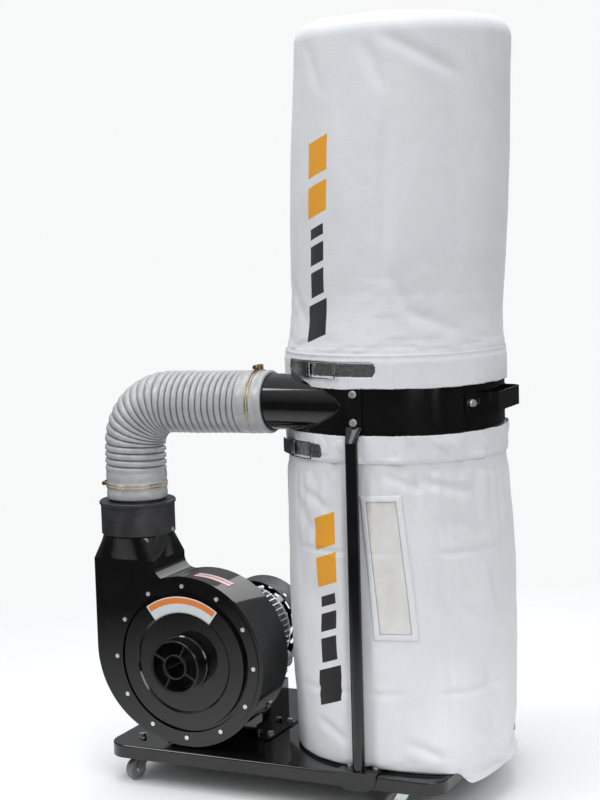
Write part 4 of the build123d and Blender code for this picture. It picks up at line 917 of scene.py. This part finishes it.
def floor_height(angles, radius):
    across = radius * np.sin(np.radians(angles)) + 0.0085
    along = -radius * np.cos(np.radians(angles)) + 0.003
    drop = smooth_step((AXIS.x + across - DROOP_EDGE) / 0.014)
    lifted = 0
    for middle in CASTER_NUT_ANGLES:
        nut_x = CASTER_NUT_R * math.sin(math.radians(middle))
        nut_y = -CASTER_NUT_R * math.cos(math.radians(middle))
        lifted = lifted + np.exp(-(np.hypot(across - nut_x, along - nut_y) / 0.024) ** 4)
    return TRAY_TOP + CLOTH_GAP + drop * np.minimum(0, bottom_of(angles) - TRAY_TOP) + NUT_LIFT * lifted


LOWER_CREASES = (
    (((39, 0.80), (44, 0.12)), 0.0036, 0.007),
    (((-46, 0.578), (28, 0.585)), 0.0022, 0.006),
    (((34, 0.58), (84, 0.575)), 0.0030, 0.007),
    (((-50, 0.262), (30, 0.272)), 0.0024, 0.007),
    (((32, 0.275), (86, 0.268)), 0.0034, 0.008),
    (((-38, 0.72), (-12, 0.665)), 0.0036, 0.010),
    (((12, 0.765), (36, 0.715)), 0.0044, 0.010),
    (((30, 0.745), (66, 0.70)), 0.0050, 0.011),
    (((58, 0.78), (86, 0.735)), 0.0040, 0.010),
    (((46, 0.66), (70, 0.60)), 0.0040, 0.012),
    (((48, 0.46), (74, 0.40)), 0.0034, 0.013),
    (((-30, 0.20), (-6, 0.15)), 0.0034, 0.010),
    (((50, 0.20), (80, 0.14)), 0.0050, 0.012),
    (((62, 0.34), (78, 0.20)), 0.0036, 0.012),
    (((20, 0.17), (40, 0.13)), 0.0036, 0.010),
    (((112, 0.74), (140, 0.66)), 0.0046, 0.011),
    (((136, 0.80), (141, 0.14)), 0.0036, 0.008),
    (((150, 0.58), (210, 0.58)), 0.0026, 0.007),
    (((196, 0.72), (236, 0.66)), 0.0046, 0.011),
    (((226, 0.80), (230, 0.14)), 0.0036, 0.008),
    (((236, 0.27), (262, 0.26)), 0.0030, 0.008),
    (((-34, 0.52), (-10, 0.40)), 0.0040, 0.034),
    (((40, 0.68), (70, 0.52)), 0.0060, 0.030),
    (((46, 0.38), (76, 0.25)), 0.0060, 0.030),
    (((-26, 0.36), (2, 0.24)), 0.0042, 0.034),
    (((64, 0.62), (80, 0.44)), 0.0048, 0.016),
    (((34, 0.50), (52, 0.36)), 0.0036, 0.014),
    (((-44, 0.70), (-24, 0.60)), 0.0034, 0.014),
)


def gather_wave(angles):
    """The uneven ripple of a gathered edge, about -1 to 1."""
    a = np.radians(angles)
    return (0.5 * np.sin(17 * a + 1.7 * np.sin(4 * a)) + 0.35 * np.sin(29 * a + 2.1 * np.sin(3 * a + 1))
            + 0.25 * np.sin(47 * a + 1.2 * np.sin(7 * a)))


def gathered(angles, z):
    """Deep gathers where the wider bag is drawn in under the ring."""
    wave = gather_wave(angles)
    below = ring_low.z - 0.012 - z
    side = 1 - 0.75 * np.exp(-(from_angle(angles, 0) / 12) ** 2) - 0.75 * np.exp(-(from_angle(angles, 180) / 12) ** 2)
    return side * 0.0066 * wave * np.exp(-np.clip(below, 0, 1) / 0.070) * smooth_step(below / 0.014)


def make_collection_bag():
    angles, grid = bag_grid(collection_profile(), bag_centre)
    lengths = (2 * grid[0, 0, 2] - profile_lengths(grid))[::-1]
    hem_rows = int(np.sum(grid[:LOWER_ROWS, 0, 2] > ring_low.z - 0.006))
    total = grid.shape[0]
    standing = [i for i in range(total) if i < hem_rows or i > LOWER_ROWS + 6]
    moved = relax_as_cloth(grid, standing, -0.9, 0.5, 0.02, 24, 0.010)
    calm = np.clip((np.arange(total) - hem_rows) / 12, 0, 1)[:, None, None]
    grid = grid + moved * calm
    flipped = grid[::-1]
    shaped = press_in(flipped, angles, LOWER_CREASES, gathered, 0.0040, -20)
    rows = np.arange(len(flipped))
    hold = np.clip((rows - FLOOR_ROWS - 2) / 10, 0, 1) * np.clip((len(flipped) - hem_rows - 2 - rows) / 8, 0, 1)
    shaped = flipped + (shaped - flipped) * hold[:, None, None]
    shaped = clear_of_posts(shaped)
    bag = shell_from_grid("collection_bag_cloth", shaped, CLOTH_THICK, True, cloth_uv(angles, lengths))
    bag.data.materials.append(MATERIALS["lower_cloth"])
    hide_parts("collection_bag")
    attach(bag, "root")
    return angles, shaped


def clear_of_posts(grid):
    """Keeps the cloth behind the posts, which stand close to it."""
    near = np.exp(-((grid[:, :, 0] - AXIS.x) / 0.030) ** 4)
    offset = grid[:, :, 1] - AXIS.y
    over = np.clip(np.abs(offset) - POST_FACE, 0, 1)
    grid = grid.copy()
    grid[:, :, 1] -= np.sign(offset) * over * near
    return grid


POST_FACE = 0.2488


class Skin:
    """The collection bag's outer face as a surface that can be asked for a point at an angle and a height."""

    def __init__(self, angles, grid):
        self.angles = angles
        self.grid = grid
        self.normals = grid_normals(grid, True)
        self.rows = range(FLOOR_ROWS + 14, grid.shape[0])

    def at(self, angle, z, lift):
        place = (angle % 360) / 360 * COLUMNS
        j = int(place) % COLUMNS
        t = place - int(place)
        k = (j + 1) % COLUMNS
        heights = self.grid[self.rows.start:, j, 2]
        i = self.rows.start + min(max(int(np.searchsorted(heights, z)) - 1, 0), len(heights) - 2)
        low, high = self.grid[i, j, 2], self.grid[i + 1, j, 2]
        s = min(max((z - low) / max(high - low, 1e-9), 0), 1)

        def blend(field):
            return ((1 - s) * ((1 - t) * field[i, j] + t * field[i, k]) + s * ((1 - t) * field[i + 1, j] + t * field[i + 1, k]))

        return blend(self.grid) + blend(self.normals) * lift


WINDOW_CORNERS = ((5.0, 0.697), (20.8, 0.699), (25.6, 0.403), (9.4, 0.403))
WINDOW_HEM = 0.011


def window_point(skin, a, b, lift, grow=0.0):
    """a runs across and b runs down the window, both 0 to 1; grow moves the edge out, in metres."""
    (al, zl), (ar, zr), (br, zbr), (bl, zbl) = WINDOW_CORNERS
    width = math.radians(ar - al) * GIRTH_R
    tall = zl - zbl
    a = a + (a - 0.5) * 2 * grow / width
    b = b + (b - 0.5) * 2 * grow / tall
    angle = (1 - b) * ((1 - a) * al + a * ar) + b * ((1 - a) * bl + a * br)
    z = (1 - b) * ((1 - a) * zl + a * zr) + b * ((1 - a) * zbl + a * zbr)
    return skin.at(angle, z, lift)


def make_window(skin):
    rows, columns = 70, 18
    grid = np.zeros((rows, columns, 3))
    for i in range(rows):
        for j in range(columns):
            a, b = j / (columns - 1), 1 - i / (rows - 1)
            pillow = 0.0010 * math.sin(math.pi * a) * math.sin(math.pi * b)
            ripple = 0.0007 * fractal(a * 4, b * 11, 2, 2)
            grid[i, j] = window_point(skin, a, b, 0.0009 + pillow + ripple)
    film = shell_from_grid("bag_window_film", grid, 0.0007, False)
    film.data.materials.append(MATERIALS["film"])
    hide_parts("bag_window")
    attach(film, "root")
    border = []
    corners = ((0, 0), (1, 0), (1, 1), (0, 1), (0, 0))
    for (a0, b0), (a1, b1) in zip(corners, corners[1:]):
        for t in np.linspace(0, 1, 60)[:-1]:
            border.append((a0 + t * (a1 - a0), b0 + t * (b1 - b0)))
    turn_in = welt_band(skin, border)
    seam = [window_point(skin, a, b, 0.0016, WINDOW_HEM * 0.62) for a, b in border]
    thread = stitches("window_stitches", seam, outward, 0.0052, 0.0036, 0.00045, 0.0)
    for piece in (turn_in, thread):
        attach(piece, "root")


def welt_band(skin, border):
    """The folded edge of cloth that frames the film and is sewn down over it."""
    inner, outer = [], []
    for a, b in border:
        inner.append(window_point(skin, a, b, 0.0022, -0.0015))
        outer.append(window_point(skin, a, b, 0.0010, WINDOW_HEM))
    steps = 6
    rings = []
    for k in range(steps + 1):
        share = k / steps
        swell = 0.0007 * math.sin(math.pi * share)
        rings.append([p + (q - p) * share + np.array(outward(p)) * swell for p, q in zip(inner, outer)])
    grid = np.array(rings)[::-1]
    band = shell_from_grid("window_welt", grid, 0.0010, True)
    band.data.materials.append(MATERIALS["hem_cloth"])
    return band


# ---------------------------------------------------------------- hems over the clamp bands
LATCH_OPENING = {"filter": (-47.0, 11.5), "collection": (-58.0, -19.0)}


def hem_sleeve(name, z_low, z_high, band_low, band_high, opening, edge_at_bottom):
    """The turned-up hem: a tunnel of cloth round the clamp band, cut away round the latch."""
    rows = 34
    band_mid = (band_low + band_high) / 2
    half = (band_high - band_low) / 2
    angles = np.arange(COLUMNS * 2) * 180 / COLUMNS
    grid = np.zeros((rows, len(angles), 3))
    for i in range(rows):
        share = i / (rows - 1)
        for j, angle in enumerate(angles):
            a = math.radians(angle)
            frayed = 0.0014 * fractal(90 * math.cos(a), 90 * math.sin(a), 1, 2)
            wavy = 0.0022 * fractal(3 * math.cos(a), 3 * math.sin(a), 4, 2)
            low = z_low + (frayed + wavy if edge_at_bottom else 0.3 * wavy)
            high = z_high + (0.2 * wavy if edge_at_bottom else frayed + wavy)
            z = low + share * (high - low)
            beyond = z - band_high if edge_at_bottom else band_low - z
            bulge = 1 - smooth_step(beyond / 0.014)
            tuck = 0.0009 * fractal(16 * math.cos(a), 16 * math.sin(a), z * 28, 2)
            lift = 0.0016
            if not edge_at_bottom:
                lift = 0.0003 + 0.0013 * smooth_step((z - z_low) / 0.010)
                turn = a + 2.6 * (z - band_mid)
                folds = fractal(7 * math.cos(turn), 7 * math.sin(turn), z * 20, 2)
                tuck += 0.0062 * max(0.0, folds) + 0.0030 * max(0.0, gather_wave(angle)) * (1 - share)
            radius = HEM_R + lift + HEM_OVER_BAND * bulge + tuck
            grid[i, j] = around(angle, radius, z)

    def cut_away(i, j):
        angle = (angles[j] + 180) % 360 - 180
        mid = (opening[0] + opening[1]) / 2
        reach = (opening[1] - opening[0]) / 2
        z = grid[i, j, 2] - band_mid
        corner = max(0.0, abs(angle - mid) - reach + 2.2) / 2.2
        return abs(angle - mid) < reach and abs(z) < (half + 0.002) * math.sqrt(max(0.0, 1 - min(1, corner) ** 2))

    sleeve = shell_from_grid(name, grid, 0.0012, True, cloth_uv(angles, grid[:, 0, 2]), skip=cut_away)
    sleeve.data.materials.append(MATERIALS["hem_cloth"])
    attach(sleeve, "root")
    return grid


HEM_OVER_BAND = 0.0024


def ring_line(z, radius, count=720):
    return [around(360 * k / count, radius, z) for k in range(count + 1)]


def make_hems():
    hem_sleeve("filter_bag_hem", FILTER_BOTTOM - 0.0015, HEM_SEAM_Z + 0.004, UPPER_BAND_BOTTOM, UPPER_BAND_TOP,
               LATCH_OPENING["filter"], True)
    hem_sleeve("collection_bag_hem", LOWER_HEM_BOTTOM, BAG_TOP + 0.0015, LOWER_BAND_BOTTOM, LOWER_BAND_TOP,
               LATCH_OPENING["collection"], False)
    thread = stitches("filter_hem_stitches", ring_line(HEM_SEAM_Z, HEM_R + 0.0019), outward, 0.0058, 0.0040, 0.00045, 0.0)
    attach(thread, "root")


BAND_HALF = 0.014
UPPER_BAND_MID = ring_high.z - 0.024
LOWER_BAND_MID = ring_low.z + 0.025
UPPER_BAND_BOTTOM = UPPER_BAND_MID - BAND_HALF
UPPER_BAND_TOP = UPPER_BAND_MID + BAND_HALF
LOWER_BAND_BOTTOM = LOWER_BAND_MID - BAND_HALF
LOWER_BAND_TOP = LOWER_BAND_MID + BAND_HALF
LOWER_HEM_BOTTOM = ring_low.z + 0.002


# ---------------------------------------------------------------- duct hose
HOSE_PITCH = 0.0158
HOSE_CREST_R = 0.0715
HOSE_RIB = 0.0068
HOSE_CUFF_R = 0.0695
HOSE_INNER_R = 0.0632
HOSE_BEND_R = 0.103
LOWER_CUFF = 0.066
UPPER_CUFF = 0.060


def rounded_path(points, radii, step):
    """Points and tangents along straight runs joined by tangent arcs, step apart."""
    points = [Vector(p) for p in points]
    line = [points[0]]
    for i in range(1, len(points) - 1):
        back = (points[i - 1] - points[i]).normalized()
        ahead = (points[i + 1] - points[i]).normalized()
        half = back.angle(ahead) / 2
        reach = radii[i - 1] / math.tan(half)
        start, end = points[i] + back * reach, points[i] + ahead * reach
        centre = points[i] + (back + ahead).normalized() * (radii[i - 1] / math.sin(half))
        turn = math.pi - 2 * half
        a, b = start - centre, end - centre
        for k in range(49):
            t = k / 48
            line.append(centre + (math.sin((1 - t) * turn) * a + math.sin(t * turn) * b) / math.sin(turn))
    line.append(points[-1])
    run = np.concatenate([[0], np.cumsum([(q - p).length for p, q in zip(line, line[1:])])])
    places = np.array([tuple(p) for p in line])
    wanted = np.linspace(0, run[-1], int(run[-1] / step) + 1)
    dense = np.stack([np.interp(wanted, run, places[:, k]) for k in range(3)], axis=1)
    tangent = np.gradient(dense, axis=0)
    return dense, tangent / np.linalg.norm(tangent, axis=1, keepdims=True), wanted


def rib_height(distance, length, angle):
    """0 in a valley to 1 on a crest; the cuffs have a few wide, shallow rings."""
    phase = (distance / HOSE_PITCH + angle / math.tau) % 1
    rib = 1 - abs(2 * phase - 1) ** 3.2
    ring_phase = (distance / 0.021) % 1
    ring = 0.80 + 0.2 * math.sin(math.pi * ring_phase)
    into = smooth_step((distance - LOWER_CUFF) / 0.010) * smooth_step((length - UPPER_CUFF - distance) / 0.010)
    return float(into * rib + (1 - into) * ring)


def make_hose():
    """A helical ribbed hose: the ribs fan out round the bend, and crowd together inside it."""
    riser_x = (collar_low.x + collar_high.x) / 2
    riser_y = (collar_low.y + collar_high.y) / 2
    tube_y = (tube_low.y + tube_high.y) / 2
    tube_z = (tube_low.z + tube_high.z) / 2
    points = ((riser_x, riser_y, hose_low.z), (riser_x, riser_y, tube_z - 0.009),
              (tube_low.x - 0.012, tube_y, tube_z - 0.003), (hose_high.x, tube_y, tube_z - 0.001))
    line, tangent, run = rounded_path(points, (HOSE_BEND_R, 0.6), 0.00115)
    length = run[-1]
    sides = 120
    across = np.array((0.0, -1.0, 0.0))
    outer = np.zeros((len(line), sides, 3))
    crest = np.zeros((len(line), sides))
    for i, (p, t, distance) in enumerate(zip(line, tangent, run)):
        side = across - t * np.dot(across, t)
        side /= np.linalg.norm(side)
        other = np.cross(t, side)
        for k in range(sides):
            a = math.tau * k / sides
            inside_bend = max(0.0, -t[2] * -0.0 + float(np.dot(math.cos(a) * side + math.sin(a) * other, bend_inward(p, line))))
            height = rib_height(distance, length, a)
            uneven = 0.0006 * fractal(p[0] * 21 + math.cos(a), p[2] * 21 + math.sin(a), p[1] * 9, 2)
            radius = HOSE_CREST_R - HOSE_RIB * (1 - height) + uneven
            radius -= 0.0022 * inside_bend * (1 - height)
            outer[i, k] = p + radius * (math.cos(a) * side + math.sin(a) * other)
            crest[i, k] = height
    lips = ((0, -0.0016, 0.4), (1, -0.0006, 0.8))
    for i, shift, _ in lips:
        outer[i] = line[i] + (outer[i] - line[i]) * (1 + shift / HOSE_CUFF_R)
        outer[-1 - i] = line[-1 - i] + (outer[-1 - i] - line[-1 - i]) * (1 + shift / HOSE_CUFF_R)
    build_hose_mesh(outer, crest, line, tangent)


def bend_inward(p, line):
    """Towards the inside of the bend near it, and nothing on the straight runs."""
    corner = np.array((line[0][0] + HOSE_BEND_R, p[1], line[-1][2] - HOSE_BEND_R))
    away = corner - p
    distance = np.linalg.norm(away)
    return away / distance * float(smooth_step((0.135 - distance) / 0.03)) if distance < 0.135 else away * 0


def build_hose_mesh(outer, crest, line, tangent):
    rows, sides, _ = outer.shape
    inner = line[:, None, :] + (outer - line[:, None, :]) * (
        HOSE_INNER_R / np.linalg.norm(outer - line[:, None, :], axis=2, keepdims=True))
    inner = inner[::6]
    inner_rows = inner.shape[0]
    if (rows - 1) % 6:
        inner = np.concatenate([inner, (line[-1] + (outer[-1] - line[-1]) * (
            HOSE_INNER_R / np.linalg.norm(outer[-1] - line[-1], axis=1, keepdims=True)))[None]])
        inner_rows += 1
    start = rows * sides
    points = np.concatenate([outer.reshape(-1, 3), inner.reshape(-1, 3)])
    faces = grid_faces(rows, sides, True) + grid_faces(inner_rows, sides, True, start, flip=True)
    last, inner_last = (rows - 1) * sides, start + (inner_rows - 1) * sides
    for k in range(sides):
        m = (k + 1) % sides
        faces.append((m, k, start + k, start + m))
        faces.append((last + k, last + m, inner_last + m, inner_last + k))
    hose = mesh_object("duct_hose_ribbed", points, faces, smooth=True)
    layer = hose.data.attributes.new("crest", "FLOAT", "POINT")
    layer.data.foreach_set("value", np.concatenate([crest.ravel(), np.ones(inner_rows * sides)]).astype(np.float32))
    hose.data.materials.append(MATERIALS["hose"])
    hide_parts("duct_hose")
    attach(hose, "root")


# ---------------------------------------------------------------- weld beads and stickers
def make_tube_weld():
    """The weld where the inlet tube runs into the drum ring."""
    radius = (tube_high.z - tube_low.z) / 2
    middle_y = tube_low.y + radius
    middle_z = (tube_low.z + tube_high.z) / 2
    line = []
    for k in range(160):
        a = math.tau * k / 160
        y = middle_y + radius * math.cos(a)
        reach = y - AXIS.y
        line.append((AXIS.x - math.sqrt(max(RING_R ** 2 - reach ** 2, 0)), y, middle_z + radius * math.sin(a)))
    bead = swept("tube_weld", line, 0.0017, 10, closed=True)
    for vertex in bead.data.vertices:
        p = vertex.co
        vertex.co += Vector((p.x, p.y, p.z)).normalized() * 0.0004 * noise.noise(p * 300)
    bead.data.materials.append(MATERIALS["gloss_black"])
    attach(bead, "root")


PIPE_X = (pipe_low.x + pipe_high.x) / 2
PIPE_Z = (pipe_low.z + pipe_high.z) / 2
LABEL_R = (0.1165, 0.1548)
LABEL_ANGLE = 36.5
DISH_STEP = (0.115, 0.120, 0.0045)
TAG_ANGLES = (1.0, 28.0)
TAG_DEPTH = (-0.214, -0.180)


def sticker(name, rows, columns, place, thickness, material):
    grid = np.array([[place(j / (columns - 1), i / (rows - 1)) for j in range(columns)] for i in range(rows)])
    u, v = np.meshgrid(np.linspace(0, 1, columns), np.linspace(0, 1, rows))
    made = shell_from_grid(name, grid, thickness, False, np.stack([u, v], axis=2), outer_lift=thickness + 0.0001)
    made.data.materials.append(MATERIALS[material])
    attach(made, "root")


def make_stickers():
    """Plain stickers without any text: an arc on the blower's cover, and a strip on its wrap."""
    face_y = cover_low.y

    def on_cover(u, v):
        angle = math.radians(-LABEL_ANGLE + 2 * LABEL_ANGLE * u)
        radius = LABEL_R[0] + v * (LABEL_R[1] - LABEL_R[0])
        start, end, depth = DISH_STEP
        sunk = depth * min(1.0, max(0.0, (end - radius) / (end - start)))
        return (PIPE_X + radius * math.sin(angle), face_y + sunk, PIPE_Z + radius * math.cos(angle))

    def on_wrap(u, v):
        angle = math.radians(TAG_ANGLES[0] + u * (TAG_ANGLES[1] - TAG_ANGLES[0]))
        depth = AXIS.y + TAG_DEPTH[0] + v * (TAG_DEPTH[1] - TAG_DEPTH[0]) + 0.012 * u
        return (PIPE_X + WRAP_R * math.sin(angle), depth, PIPE_Z + WRAP_R * math.cos(angle))

    sticker("cover_label", 24, 60, on_cover, 0.0003, "label")
    sticker("wrap_tag", 6, 30, on_wrap, 0.0003, "tag")


WRAP_R = 0.193


# ---------------------------------------------------------------- everything together
finish_cad_nodes()
make_camera()
make_studio()
make_filter_bag()
bag_angles, bag_skin = make_collection_bag()
make_window(Skin(bag_angles, bag_skin))
make_hems()
make_hose()
make_tube_weld()
make_stickers()
